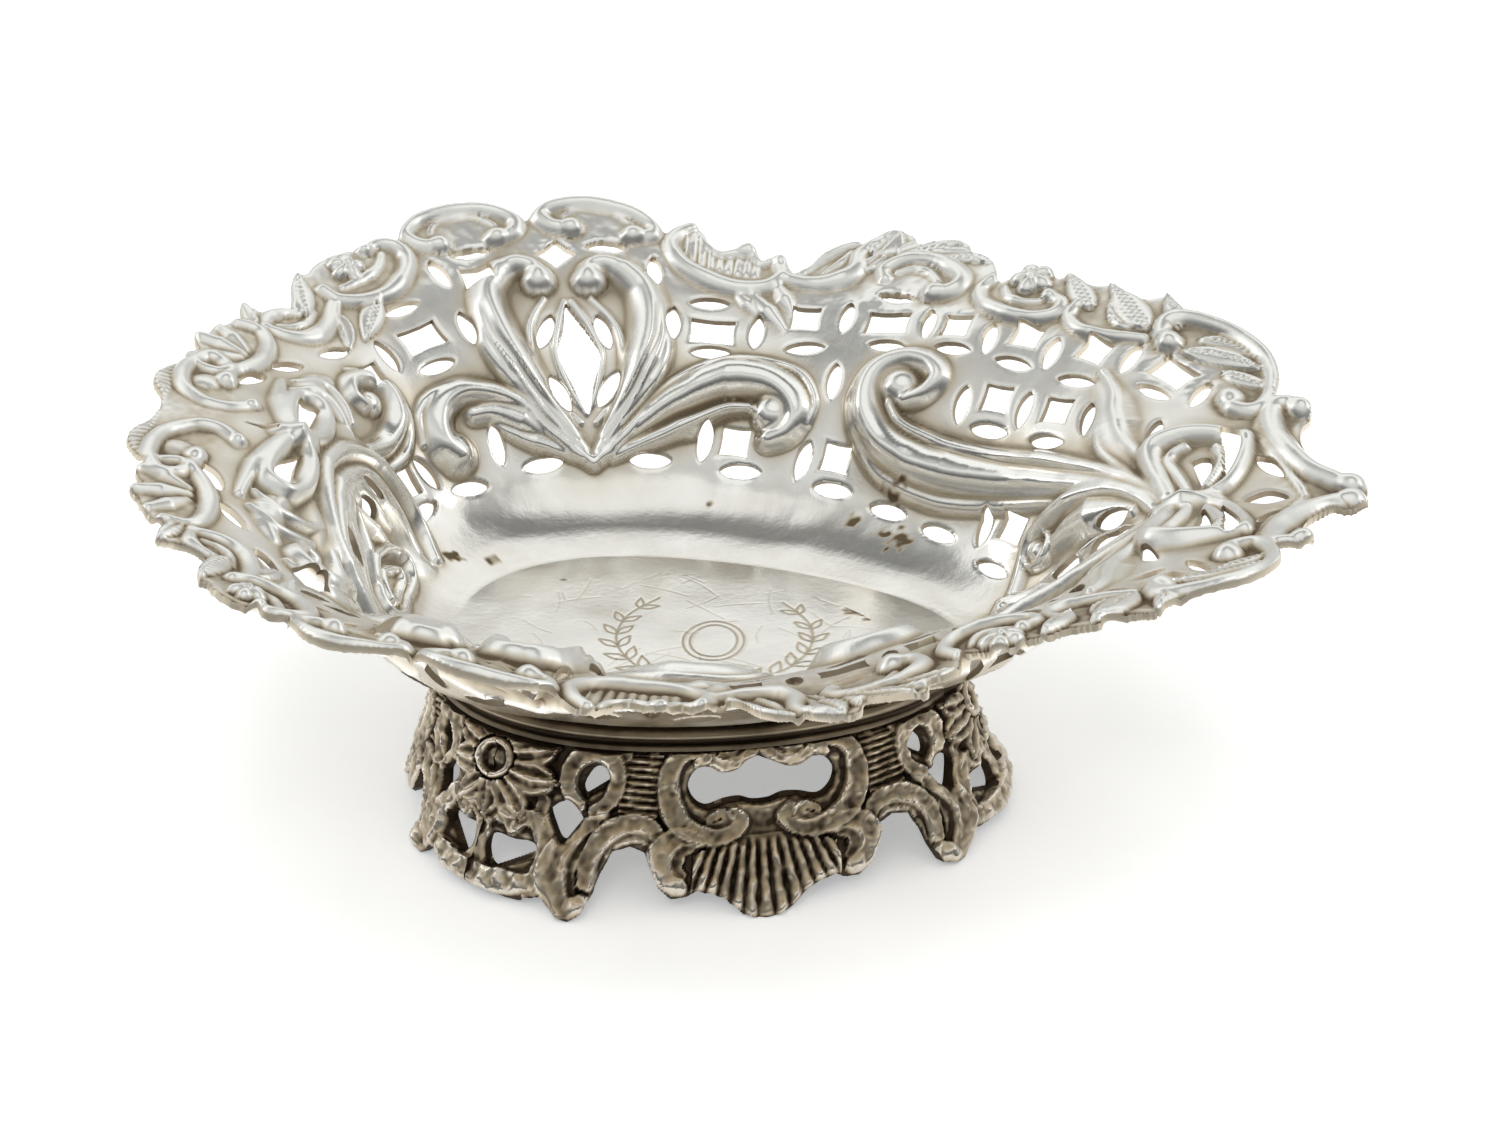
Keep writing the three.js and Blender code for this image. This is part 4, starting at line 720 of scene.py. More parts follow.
    def flower(self, across, up, radius):
        """Five petals: edge radius (0.72 + 0.28 |cos 2.5 angle|) radius, creased between petals, with a domed
        eye."""
        box, x, y = self.local(across, up, radius)
        far, angle = np.hypot(x, y), np.arctan2(y, x) + 0.3
        petal = np.abs(np.cos(2.5 * angle))
        edge = radius * (0.72 + 0.28 * petal)
        height = 1.5 * np.clip(1 - (far / edge) ** 3, 0, 1) ** 0.5 * (0.55 + 0.45 * petal ** 0.5)
        eye = 1.9 * np.sqrt(np.clip(1 - (far / (0.28 * radius)) ** 2, 0, 1))
        self.raise_to(box, np.maximum(height, eye))

    def at_least(self, inside, height):
        """Relief raised to this height where inside is true."""
        self.relief = np.where(inside, np.maximum(self.relief, height), self.relief)

    def roughened(self, layers, share=1):
        """Relief with layers of grain added, times a share."""
        self.relief += share * sum(height * grain_field(self.relief.shape, seed, cells)
                                   for height, cells, seed in layers)

    def cut(self, box, inside):
        """Takes the metal away where inside, the distance in mm within a piercing, is positive."""
        self.metal[box] = np.minimum(self.metal[box], -inside)

    def cut_outline(self, corners):
        """Smooth closed piercing: distance to the outline, positive within it by the even-odd rule."""
        outline = closed_line(corners, LINE_STEPS)
        box, distance, _, _, _ = self.measure(np.vstack([outline, outline[:1]]), 3.0)
        x, y = np.broadcast_arrays(self.across[box[0]][:, None], self.up[box[1]][None, :])
        inside = np.zeros(x.shape, bool)
        for (x0, y0), (x1, y1) in zip(outline, np.roll(outline, -1, axis=0)):
            crosses = (y0 > y) != (y1 > y)
            inside ^= crosses & (x < x0 + (x1 - x0) * (y - y0) / (y1 - y0 if y1 != y0 else 1))
        self.cut(box, np.where(inside, distance, -distance))

    def cut_slot(self, across, up, degrees):
        """Pointed oval: half width (1 - |2x / length|^2.2)^0.75, less the distance from its long axis."""
        box, x, y = self.local(across, up, SLOT_LENGTH)
        x, y = turned(x, y, degrees)
        reach = np.abs(2 * x / SLOT_LENGTH)
        half_width = SLOT_WIDTH / 2 * np.clip(1 - reach ** 2.2, 0, 1) ** 0.75
        self.cut(box, half_width - np.abs(y) - np.maximum(reach - 1, 0) * SLOT_LENGTH / 2)

    def cut_window(self, across, up, degrees, length):
        """Rectangle whose sides are hollow: narrower by 6 to 8 hundredths in their middles."""
        box, x, y = self.local(across, up, length)
        x, y = turned(x, y, degrees)
        half_tall = WINDOW_SIDE / 2 * (0.94 + 0.08 * (2 * x / length) ** 2)
        half_long = length / 2 * (0.95 + 0.06 * (2 * y / WINDOW_SIDE) ** 2)
        self.cut(box, np.minimum(half_long - np.abs(x), half_tall - np.abs(y)))


def round_section(power):
    """Section (1 - reach^2)^power."""
    return lambda reach: np.clip(1 - reach ** 2, 0, 1) ** power


def hollow_section(reach):
    """Section with an eased shoulder over its outer third and a top hollowed by 0.68 + 0.4 reach^2."""
    return ease((1 - reach) / 0.34) * (0.68 + 0.4 * np.minimum(reach, 1) ** 2)


def rolled(metal, radius):
    """Drop of a rolled edge, by a quarter circle of this radius."""
    return radius * (1 - np.sqrt(1 - np.clip(1 - metal / radius, 0, 1) ** 2))


def blurred(field, cells, closed):
    """Bell-shaped blur over so many cells, or so many down and so many over: each wave of the field is damped
    by exp(-2 (pi cells frequency)^2). Open edges are mirrored."""
    whole = np.concatenate([field, field[:, ::-1]], 1)
    if not closed:
        whole = np.concatenate([whole, whole[::-1]])
    down, over = [np.exp(-2 * (np.pi * reach * np.fft.fftfreq(size)) ** 2)
                  for reach, size in zip(np.broadcast_to(cells, 2), whole.shape)]
    return np.fft.ifft2(np.fft.fft2(whole) * down[:, None] * over).real[:field.shape[0], :field.shape[1]]


def grain_field(shape, seed, cells):
    """Seeded random field blurred over so many cells, with a standard deviation of 1."""
    field = blurred(np.random.default_rng(seed).standard_normal(shape), cells, False)
    return field / field.std()


def worn_tone(relief, closed):
    """How far each place stands above its near and wider neighbourhood, in mm: worn bright above, stained
    below."""
    return (NEAR_WEIGHT * (relief - blurred(relief, NEAR_CELLS, closed))
            + WIDE_WEIGHT * (relief - blurred(relief, WIDE_CELLS, closed)))


def tarnish(tone, seed, cells, depth, spots):
    """Darkens the tone at spots, each a distance and a radius: depth times (0.85 + 0.5 grain -
    (distance / radius)^1.5), with the bracket held between 0 and 1."""
    blotch = 0.85 + 0.5 * grain_field(tone.shape, seed, cells)
    for far, radius in spots:
        tone -= depth * np.clip(blotch - (far / radius) ** 1.5, 0, 1) * (far < 2 * radius)


# Meshes

def placed(name, data):
    """New object in the scene."""
    item = bpy.data.objects.new(name, data)
    bpy.context.scene.collection.objects.link(item)
    return item


def set_axes(item, right, up, back, place):
    """Turns an object to these axes and puts it in its place."""
    matrix = np.eye(4)
    matrix[:3] = np.stack([right, up, back, place], 1)
    item.matrix_world = Matrix(matrix.tolist())


def quads(a, b, c, d):
    """Two triangles for each four corners."""
    return np.concatenate([np.stack([a, b, c], 1), np.stack([a, c, d], 1)])


def finish_piece(name, points, faces, tone, material, node, cut_faces=0):
    """Mesh object from points in mm in the dish's own frame and triangles, riding on the dish's one body. The
    last so many triangles are cut edges, given painted shade: deeper in the piercings and lighter on the rim."""
    mesh = bpy.data.meshes.new(name)
    mesh.vertices.add(len(points))
    mesh.vertices.foreach_set("co", ((points + SHIFT) * MM).astype(np.float32).ravel())
    mesh.loops.add(faces.size)
    mesh.loops.foreach_set("vertex_index", faces.astype(np.int32).ravel())
    mesh.polygons.add(len(faces))
    mesh.polygons.foreach_set("loop_start", np.arange(0, faces.size, 3, dtype=np.int32))
    mesh.update(calc_edges=True)
    mesh.polygons.foreach_set("use_smooth", np.ones(len(faces), bool))
    mesh.set_sharp_from_angle(angle=np.radians(SHARP_DEGREES))
    corner_tone = tone[faces.ravel()].astype(np.float32)
    first_cut = faces.size - 3 * cut_faces
    on_rim = points[faces.ravel()[first_cut:], 2] > RIM_EDGE_LEVEL
    # Cut edges take painted shade, lighter on the rim
    corner_tone[first_cut:] = np.where(on_rim, RIM_CUT_EDGE_SHADE, CUT_EDGE_SHADE)
    mesh.attributes.new("tone", "FLOAT", "CORNER").data.foreach_set("value", corner_tone)
    mesh.materials.append(material)
    piece = placed(name, mesh)
    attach(piece, "root")
    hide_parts(node)


def clipped_sheet(metal, to_pole):
    """Triangles of a grid where metal is positive, cut along the line where it is nought. To a pole, the last
    row is one point and the faces are turned over, because the rows run inwards.
    Returns the triangles and, for each new point, the two grid points that it lies between and its share."""
    columns, rows = metal.shape
    ids = np.arange(columns * rows).reshape(columns, rows)
    triangles = quads(*[part.ravel() for part in (ids[:-1, :-1], ids[1:, :-1], ids[1:, 1:], ids[:-1, 1:])])
    if to_pole:
        triangles = np.where(np.isin(triangles, ids[1:, -1]), ids[0, -1], triangles)
        real = np.all(triangles != np.roll(triangles, 1, 1), 1)
        triangles = triangles[real, ::-1]
    value = metal.ravel()
    inside = value[triangles] > 0
    count = inside.sum(1)
    kept = []
    for wanted, lone in ((1, True), (2, False)):
        first = (inside[count == wanted] == lone).argmax(1)
        order = (first[:, None] + np.arange(3)) % 3
        kept.append(np.take_along_axis(triangles[count == wanted], order, 1))
    one, two = kept
    pairs = np.concatenate([one[:, [0, 1]], one[:, [0, 2]], two[:, [0, 1]], two[:, [0, 2]]])
    keys, where = np.unique(np.sort(pairs, 1), axis=0, return_inverse=True)
    ends = np.cumsum([len(one), len(one), len(two)])
    one_b, one_c, two_b, two_c = np.split(where.ravel() + columns * rows, ends)
    faces = np.concatenate([triangles[count == 3], np.stack([one[:, 0], one_b, one_c], 1),
                            quads(two_b, two[:, 1], two[:, 2], two_c)])
    low, high = value[keys[:, 0]], value[keys[:, 1]]
    return faces, keys, low / (low - high)


def sheet_piece(name, front, back, tone, metal, material, node, to_pole=False):
    """Closed sheet: the clipped front grid, the same grid turned over behind it, and walls along edges."""
    faces, keys, share = clipped_sheet(metal, to_pole)
    used, where = np.unique(faces, return_inverse=True)
    faces, count = where.reshape(faces.shape), len(used)

    def extended(values):
        """Values at the grid points in use, then at the new points along the cut."""
        flat = values.reshape(-1, values.shape[-1])
        between_keys = flat[keys[:, 0]] + (flat[keys[:, 1]] - flat[keys[:, 0]]) * share[:, None]
        return np.concatenate([flat, between_keys])[used]

    front, back, tone = extended(front), extended(back), extended(tone[..., None])[:, 0]
    edges = np.concatenate([faces[:, [0, 1]], faces[:, [1, 2]], faces[:, [2, 0]]]).astype(np.int64)
    codes, opposite = edges @ (count, 1), edges @ (1, count)
    p, q = edges[~np.isin(codes, opposite)].T
    walls = quads(q, p, p + count, q + count)
    faces = np.concatenate([faces, faces[:, ::-1] + count, walls])
    # The back face takes painted shade, with the front's relief tone turned over so that its hollows stain
    tone = np.concatenate([tone, UNDERSIDE_SHADE - UNDERSIDE_GAIN * tone])
    finish_piece(name, np.concatenate([front, back]), faces, tone, material, node, len(walls))


# Materials

def node_of(tree, kind, entries=None, **settings):
    """Shader node with its settings. Each entry, by name or number, takes a socket's link or a value."""
    node = tree.nodes.new(kind)
    for key, value in settings.items():
        setattr(node, key, value)
    for key, value in (entries or {}).items():
        if isinstance(value, bpy.types.NodeSocket):
            tree.links.new(value, node.inputs[key])
        else:
            node.inputs[key].default_value = value
    return node


def worked_out(tree, operation, *terms, clamp=False):
    """Result of a Math node whose terms are sockets or numbers."""
    entries = dict(enumerate(terms))
    return node_of(tree, "ShaderNodeMath", entries, operation=operation, use_clamp=clamp).outputs[0]


def ranged(tree, value, **entries):
    """Result of a Map Range node, whose other entries are numbers."""
    entries = {key.replace("_", " "): number for key, number in entries.items()}
    return node_of(tree, "ShaderNodeMapRange", {"Value": value, **entries}).outputs["Result"]


def new_material(name):
    """Material, its node tree and its shader."""
    material = bpy.data.materials.new(name)
    material.use_nodes = True
    return material, material.node_tree, material.node_tree.nodes["Principled BSDF"]


# Noises of old silver, in waves per metre: scale, detail and roughness
PATCH_NOISE = (70.0, 5.0, 0.62)
GRAIN_NOISE = (900.0, 3.0, 0.6)
WAVE_NOISE = (55.0, 1.5, 0.5)
SPECK_NOISE = (380.0, 5.0, 0.7)
SPECK_LEVELS, SPECK_STAIN = (0.71, 0.78), 0.55
HALF_STAINED, HALF_STAINED_MIX = 0.45, (0.64, 0.58, 0.48)
WIPE_MARKS = 0.08
PIT_STRENGTH, PIT_DEPTH = 0.25, 0.0001
SHARP_DEGREES = 48
# The rim is duller than the floor: heights in metres between which it sets in, and what it adds
SATIN_LEVELS = (0.043, 0.05)
SATIN_ROUGHNESS = 0.13


def silver(name, bright, stain_and_shade, stain_and_shade_gain, stain_floor, polish, dull, dent, mottle):
    """Old silver. The tone attribute is the height above the blurred relief, so hollows take the stain and
    worn ridges stay bright, and it also carries painted shade on cut edges, back faces and the front of the
    rim. Patchy noise adds tarnish, and the peaks of another noise small specks. Roughness goes from polish to
    dull with the stain, with wipe marks from a fine noise and satin on the rim. A slow wave as high as dent,
    with fine pits, makes the bump."""
    material, tree, shader = new_material(name)
    spot = node_of(tree, "ShaderNodeTexCoord").outputs["Object"]
    tone = node_of(tree, "ShaderNodeAttribute", attribute_name="tone").outputs["Fac"]
    patches, grain, waves, specks = [
        node_of(tree, "ShaderNodeTexNoise",
                {"Vector": spot, "Scale": scale, "Detail": detail, "Roughness": rough}).outputs["Fac"]
        for scale, detail, rough in (PATCH_NOISE, GRAIN_NOISE, WAVE_NOISE, SPECK_NOISE)]
    # Tone below nought darkens towards the dark colour: tarnish in hollows, and painted shade on cut edges,
    # back faces and the rim's front
    hollow_and_shade = worked_out(tree, "MULTIPLY_ADD", tone, -stain_and_shade_gain, stain_floor)
    patch = worked_out(tree, "MULTIPLY_ADD", patches, mottle, -mottle * 0.5)
    stained_and_shaded = worked_out(tree, "ADD", hollow_and_shade, patch, clamp=True)
    specked = ranged(tree, specks, From_Min=SPECK_LEVELS[0], From_Max=SPECK_LEVELS[1], To_Max=SPECK_STAIN)
    ramp = node_of(tree, "ShaderNodeValToRGB", {"Fac": worked_out(tree, "ADD", stained_and_shaded, specked, clamp=True)})
    ramp.color_ramp.elements[0].color = (*bright, 1)
    ramp.color_ramp.elements[1].color = (*stain_and_shade, 1)
    middle = [b * w + s * (1 - w) for b, s, w in zip(bright, stain_and_shade, HALF_STAINED_MIX)]
    ramp.color_ramp.elements.new(HALF_STAINED).color = (*middle, 1)

    rough = ranged(tree, stained_and_shaded, To_Min=polish, To_Max=dull)
    wiped = worked_out(tree, "MULTIPLY_ADD", grain, WIPE_MARKS, rough)
    level = node_of(tree, "ShaderNodeSeparateXYZ", {0: spot}).outputs["Z"]
    satin = ranged(tree, level, From_Min=SATIN_LEVELS[0], From_Max=SATIN_LEVELS[1], To_Max=SATIN_ROUGHNESS)
    pits = node_of(tree, "ShaderNodeBump", {"Strength": PIT_STRENGTH, "Distance": PIT_DEPTH, "Height": grain})
    swell = node_of(tree, "ShaderNodeBump", {"Strength": 1.0, "Distance": dent, "Height": waves,
                                             "Normal": pits.outputs["Normal"]})
    shader.inputs["Metallic"].default_value = 1.0
    tree.links.new(ramp.outputs["Color"], shader.inputs["Base Color"])
    tree.links.new(worked_out(tree, "ADD", wiped, satin), shader.inputs["Roughness"])
    tree.links.new(swell.outputs["Normal"], shader.inputs["Normal"])
    return material


bowl_silver = silver("polished_silver", bright=(0.95, 0.935, 0.9), stain_and_shade=(0.2, 0.145, 0.09), stain_and_shade_gain=1.45,
                     stain_floor=0.085, polish=0.12, dull=0.5, dent=0.0005, mottle=0.34)
foot_silver = silver("oxidised_silver", bright=(0.76, 0.7, 0.61), stain_and_shade=(0.07, 0.052, 0.036), stain_and_shade_gain=1.15,
                     stain_floor=0.72, polish=0.2, dull=0.5, dent=0.0005, mottle=0.75)

# The CAD collar reaches 1.1 times as far out from the floor plan as the collar plan does
COLLAR_REACH_SHARE = 1.1
collar_back = FLOOR_PLAN["back"] + COLLAR_REACH_SHARE * (COLLAR_PLAN["back"] - FLOOR_PLAN["back"])
collar_low, collar_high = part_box("foot_collar")
# From the dish's own frame to the shared one, in mm
SHIFT = np.array([collar_low.x / MM - collar_back, (collar_low.y + collar_high.y) / 2 / MM, 0.0])


# Bowl

def wall_forms(half):
    """Ribs, medallion, leaves, flowers and flutes. The height of a flute is |sin(pi x / pitch)|^0.7 of a full
    one's."""
    across, up = half.across[:, None], half.up
    wall_section = round_section(WALL_ROUNDNESS)
    half.ribs(WALL_RIB_SHARES, WALL_RIB_GAIN, WALL_HEIGHT_GAIN, wall_section)
    for side in (1, -1):
        half.ribs(MEDALLION_RIB_SHARES, MEDALLION_GAIN, 1, wall_section, side, MEDALLION_MIDDLE_SHARE)
        half.knobs(MEDALLION_KNOB_SHARES, side=side, middle=MEDALLION_MIDDLE_SHARE)
        for points, half_width, depth in MEDALLION_CREASE_SHARES:
            half.crease(beside(points, side, MEDALLION_MIDDLE_SHARE), half_width, depth)
    half.leaves(LEAF_SHARES, LEAF_GAIN)
    for flower in FLOWER_SHARES:
        half.flower(*flower)
    for start, end, low, pitch in FLUTED_EDGE_SHARES:
        wave = FLUTE_HEIGHT * np.abs(np.sin(np.pi * across / pitch)) ** 0.7
        flute = wave * rising(up, low, FLUTE_RISE_SHARE)
        half.at_least((across > start) & (across < end) & (up > low) & (up < FLUTES_END_SHARE), flute)


def rim_forms(half, from_edge):
    """Scrolls and beads of the rim, then the grain of the whole sheet. The rim is matted, three quarters less
    on what is 0.9 mm high, and not along its edge."""
    half.ribs(RIM_RIB_SHARES, RIM_RIB_GAIN, RIM_HEIGHT_GAIN, round_section(RIM_ROUNDNESS))
    half.knobs(KNOB_SHARES, KNOB_GAIN, KNOB_HEIGHT_GAIN)
    half.roughened(SHEET_NOISE, rising(half.up, *NOISE_RISE_SHARES))
    matted = rising(half.up, *MATTED_RISE_SHARES) * (1 - 0.75 * ease(half.relief / 0.9))
    half.roughened(RIM_NOISE, matted * ease(from_edge / EDGE_CALM))


def bowl_piercings(half, from_edge):
    """Scalloped edge, slots, windows and larger openings, with their edges rolled down."""
    half.metal = np.minimum(half.metal, from_edge)
    for slot in SLOT_SHARES:
        half.cut_slot(*slot)
    for length, rows in ((WINDOW_SIDE, WINDOW_SHARES), (WIDE_WINDOW_LENGTH, WIDE_WINDOW_SHARES)):
        for window in rows:
            half.cut_window(*window, length)
    for corners in OPENING_SHARES:
        half.cut_outline(corners)
    roll_share = np.where(half.up > RIM_LOW_SHARE, RIM_ROLL_SHARE, PIERCING_ROLL_SHARE)
    half.relief -= rolled(half.metal, BOWL_ROLL) * roll_share


def bowl_half():
    """Relief and metal of the rear half, which the front half mirrors."""
    half = Sheet(bowl_point, np.linspace(0, 1, BOWL_COLUMNS + 1), np.concatenate([
        np.linspace(FLOOR_EDGE_SHARE, -0.01, FLOOR_EDGE_ROWS), np.linspace(0, PLAIN_TOP_SHARE, PLAIN_ROWS),
        np.arange(WORKED_FROM_SHARE, GRID_TOP_SHARE, ROW_STEP_SHARE)]))
    edge = np.interp(half.across, *smooth_line(EDGE_SHARES).T)
    from_edge = (edge[:, None] - half.up) * WALL_LENGTH
    wall_forms(half)
    rim_forms(half, from_edge)
    bowl_piercings(half, from_edge)
    return half


def bowl_pieces():
    """The wall: both halves from one relief, as sectors side by side. The rim is lifted at the rear and
    darkened along the front: painted light and shade over its tarnish.
    """
    half = bowl_half()
    columns = 2 * BOWL_COLUMNS
    around = np.arange(columns + 1) / BOWL_COLUMNS
    place = bowl_point(around[:, None], half.up[None, :])
    along = np.gradient(place, axis=0)
    along[0] = along[-1] = place[1] - place[-2]
    normal = unit(np.cross(along, np.gradient(place, axis=1)))
    relief, metal = [np.concatenate([values, values[-2::-1]]) for values in (half.relief, half.metal)]
    tone = np.maximum(worn_tone(relief[:-1], True), DEEPEST_TONE)
    front_share = 0.5 - 0.5 * np.sin(np.pi * around)[:, None]
    tone = np.concatenate([tone, tone[:1]])
    # Painted light at the rear of the rim and painted shade along its front, over the rim's tarnish
    tone += (RIM_TONE - RIM_STAIN_AND_FRONT_SHADE * front_share) * rising(half.up, *RIM_STAIN_AND_SHADE_RISE_SHARES)
    spots = [(np.linalg.norm(place - bowl_point(across, up), axis=-1), radius)
             for across, up, radius in SPOT_SHARES]
    tarnish(tone, WALL_BLOTCH_SEED, WALL_BLOTCH_CELLS, WALL_TARNISH, spots)
    front = place + normal * relief[..., None]
    back = front - normal * BOWL_GAUGE
    back[..., 2] = np.maximum(back[..., 2], FLOOR_HEIGHT - BOWL_GAUGE)
    for k in range(BOWL_SECTORS):
        part = slice(columns * k // BOWL_SECTORS, columns * (k + 1) // BOWL_SECTORS + 1)
        sheet_piece(f"bowl_wall_{k + 1}", front[part], back[part], tone[part], metal[part], bowl_silver,
                    "pierced_bowl")


def grooves(plan, lines, half_width):
    """Grooves along lines in plan: 1 on a line, falling with the square of the distance to 0 at the half
    width."""
    deepest = np.zeros(plan.shape[:2])
    for line in lines:
        near = np.all((plan > line.min(0) - half_width) & (plan < line.max(0) + half_width), -1)
        start, step = line[:-1], np.diff(line, axis=0)
        offset = plan[near][:, None, :] - start
        part = np.clip((offset * step).sum(-1) / (step ** 2).sum(-1), 0, 1)
        gap = np.linalg.norm(offset - part[..., None] * step, axis=-1).min(1)
        deepest[near] = np.maximum(deepest[near], np.clip(1 - (gap / half_width) ** 2, 0, 1))
    return deepest


def engraved_lines():
    """Ovals, and a sprig on each side with leaves leaning off it. A leaf is two arcs that meet at its tip."""
    angle = np.linspace(0, 2 * np.pi, 49)
    ovals = [np.stack([x * np.cos(angle), y * np.sin(angle)], -1) for x, y in ENGRAVING_OVALS]
    sprig = smooth_line(SPRIG_POINTS, 8)
    lines = [sprig]
    steps = np.linspace(LEAVES_FROM_SHARE, LEAVES_TO_SHARE, SPRIG_LEAVES) * (len(sprig) - 2)
    for k, step in enumerate(steps.astype(int)):
        along = unit(sprig[step + 1] - sprig[step])
        length = SPRIG_LEAF_LENGTH * (1 - LEAF_TAPER_SHARE * k)
        for lean in (LEAF_LEAN_DEGREES, -LEAF_LEAN_DEGREES):
            tip = np.array(turned(*along, lean)) * length
            for bend in (lean - LEAF_BEND_DEGREES, lean + LEAF_BEND_DEGREES):
                bulge = np.array(turned(*along, bend)) * length * 0.5
                lines.append(smooth_line([sprig[step], sprig[step] + bulge, sprig[step] + tip], 4))
    return [line + ENGRAVING_MIDDLE for line in ovals + lines + [line * (-1, 1) for line in lines]]


def scratch_lines():
    """Short bowed lines at random places and angles."""
    random = np.random.default_rng(SCRATCH_SEED)
    lines = []
    for _ in range(SCRATCHES):
        middle, angle = random.uniform(*SCRATCH_FIELD), random.uniform(0, np.pi)
        reach = random.uniform(*SCRATCH_REACH) * np.array([np.cos(angle), np.sin(angle)])
        bend = random.uniform(*SCRATCH_BEND) * np.array([-np.sin(angle), np.cos(angle)])
        lines.append(smooth_line([middle - reach, middle + bend, middle + reach], 3))
    return lines


def floor_pieces():
    """Flat floor in two halves: the plan shrunk in even steps to one point, engraved, scratched and
    tarnished."""
    rings = np.linspace(FLOOR_EDGE_SHARE, -1, FLOOR_RINGS)
    for k, name in enumerate(("bowl_floor_rear", "bowl_floor_front")):
        sheet = Sheet(bowl_point, np.linspace(k, k + 1, FLOOR_COLUMNS + 1), rings)
        plan = sheet.place[..., :2]
        engraved = grooves(plan, engraved_lines(), ENGRAVED_HALF_WIDTH)
        scratched = grooves(plan, scratch_lines(), SCRATCH_HALF_WIDTH)
        tone = FLOOR_TONE - ENGRAVED_STAIN * engraved - SCRATCH_STAIN * scratched
        spots = [(np.hypot(plan[..., 0] - x, plan[..., 1] - y), radius) for x, y, radius in FLOOR_SPOTS]
        tarnish(tone, FLOOR_BLOTCH_SEED + k, FLOOR_BLOTCH_CELLS, FLOOR_TARNISH, spots)
        front = sheet.place.copy()
        front[..., 2] -= ENGRAVED_DEPTH * engraved + SCRATCH_DEPTH * scratched
        back = sheet.place - np.array([0, 0, BOWL_GAUGE])
        sheet_piece(name, front, back, tone, sheet.metal, bowl_silver, "pierced_bowl", True)


bowl_pieces()
floor_pieces()


# Foot

def panel_forms(sheet, side):
    """Leaves, scrolls and domes on one side of a panel, and the eye of its corner flower: a domed disc in a
    hoop of half oval section."""
    sheet.leaves(SKIRT_LEAF_SHARES, side=side)
    sheet.ribs(SKIRT_RIB_SHARES, FOOT_RIB_GAIN, FOOT_HEIGHT_GAIN, hollow_section, side)
    sheet.knobs(SKIRT_KNOB_SHARES, side=side)
    box, x, y = sheet.local(side, CORNER_RING_DEPTH_SHARE, 2 * CORNER_RING_RADIUS)
    far = np.hypot(x, y) - CORNER_RING_RADIUS
    hoop = HOOP_HEIGHT * np.sqrt(np.clip(1 - (far / HOOP_HALF_WIDTH) ** 2, 0, 1))
    eye = EYE_HEIGHT * np.clip(-far / CORNER_RING_RADIUS, 0, 1) ** 0.5
    sheet.relief[box] = np.where(far < HOOP_HALF_WIDTH, np.maximum(hoop, eye + 0.3), sheet.relief[box])


def bands_and_shell(sheet):
    """Ribbed bands beside the cartouche, 0.2 + 0.6 |sin| mm high across slightly slanted lines. Shell under
    it, 0.25 + 0.95 |cos| mm high across its spreading flutes, with up to 0.3 of that taken off in tiers."""
    reach, depth = np.abs(sheet.across)[:, None], sheet.up[None, :]
    first, last, top, low = BAND_SHARES
    ribbing = 0.2 + 0.6 * np.abs(np.sin(np.pi * (depth + BAND_SLANT_SHARE * reach) / BAND_PITCH_SHARE))
    sheet.at_least((reach > first) & (reach < last) & (depth > top) & (depth < low), ribbing)
    half_shell = np.minimum(0.04 + 0.3 * rising(depth, 0.45, 0.3), SHELL_HALF_SHARE)
    shell = (reach < half_shell) & (depth > SHELL_TOP_SHARE)
    flute = reach / (SHELL_FLUTE_SHARE * (0.35 + depth))
    tier = 0.5 + 0.5 * np.sin(2 * np.pi * depth / SHELL_TIER_SHARE + 2.1 * np.round(flute))
    ridges = 0.95 * np.abs(np.cos(np.pi * flute)) * rising(depth, SHELL_TOP_SHARE, 0.08) * (0.7 + 0.3 * tier)
    sheet.at_least(shell, 0.25 + ridges)


def panel_piercings(sheet):
    """Lower edge of a panel and its openings, with their edges rolled down."""
    edge = np.interp(np.abs(sheet.across), *np.transpose(SKIRT_EDGE_SHARES))
    sheet.metal = np.minimum(sheet.metal, (edge[:, None] + 1e-4 - sheet.up) * SKIRT_TOP)
    for corners in SKIRT_OPENING_SHARES:
        sheet.cut_outline(corners)
        if min(x for x, _ in corners) > 0:
            sheet.cut_outline(beside(corners, -1))
    sheet.relief -= rolled(sheet.metal, SKIRT_ROLL)


def skirt_panel(name, start, middle, end, node):
    """One panel of the foot, from corner to corner, as a closed sheet. Its outer face is thickened inwards,
    level with the table."""
    def place(across, depth):
        """Point at -1 to 1 across, from one corner through the panel's middle to the other."""
        across = np.asarray(across, float)
        return skirt_point(middle + across * np.where(across < 0, middle - start, end - middle), depth)

    length = np.linalg.norm(np.diff(place(np.linspace(-1, 1, 200), 0.5), axis=0), axis=1).sum()
    columns = int(length / SKIRT_COLUMN_STEP)
    sheet = Sheet(place, np.linspace(-1, 1, columns), np.linspace(0, 1.0, SKIRT_ROWS))
    for side in (1, -1):
        panel_forms(sheet, side)
    bands_and_shell(sheet)
    sheet.roughened(FOOT_NOISE)
    panel_piercings(sheet)
    front = sheet.place - sheet.normal * SKIRT_SINK + sheet.normal * sheet.relief[..., None]
    back = sheet.place - unit(sheet.normal * (1, 1, 0)) * SKIRT_GAUGE
    for points in (front, back):
        points[..., 2] = np.clip(points[..., 2], 0, SKIRT_TOP)
    tone = worn_tone(sheet.relief, False)
    sheet_piece(name, front, back, tone, sheet.metal, foot_silver, node)


skirt_panel("foot_panel_rear", CORNER_SHARE, SIDE_PANEL_MIDDLE_SHARE, 1, "skirt_panel_rear")
skirt_panel("foot_panel_front", 1, 2 - SIDE_PANEL_MIDDLE_SHARE, 2 - CORNER_SHARE, "skirt_panel_front")
skirt_panel("foot_panel_end", -CORNER_SHARE, 0, CORNER_SHARE, "skirt_panel_end")


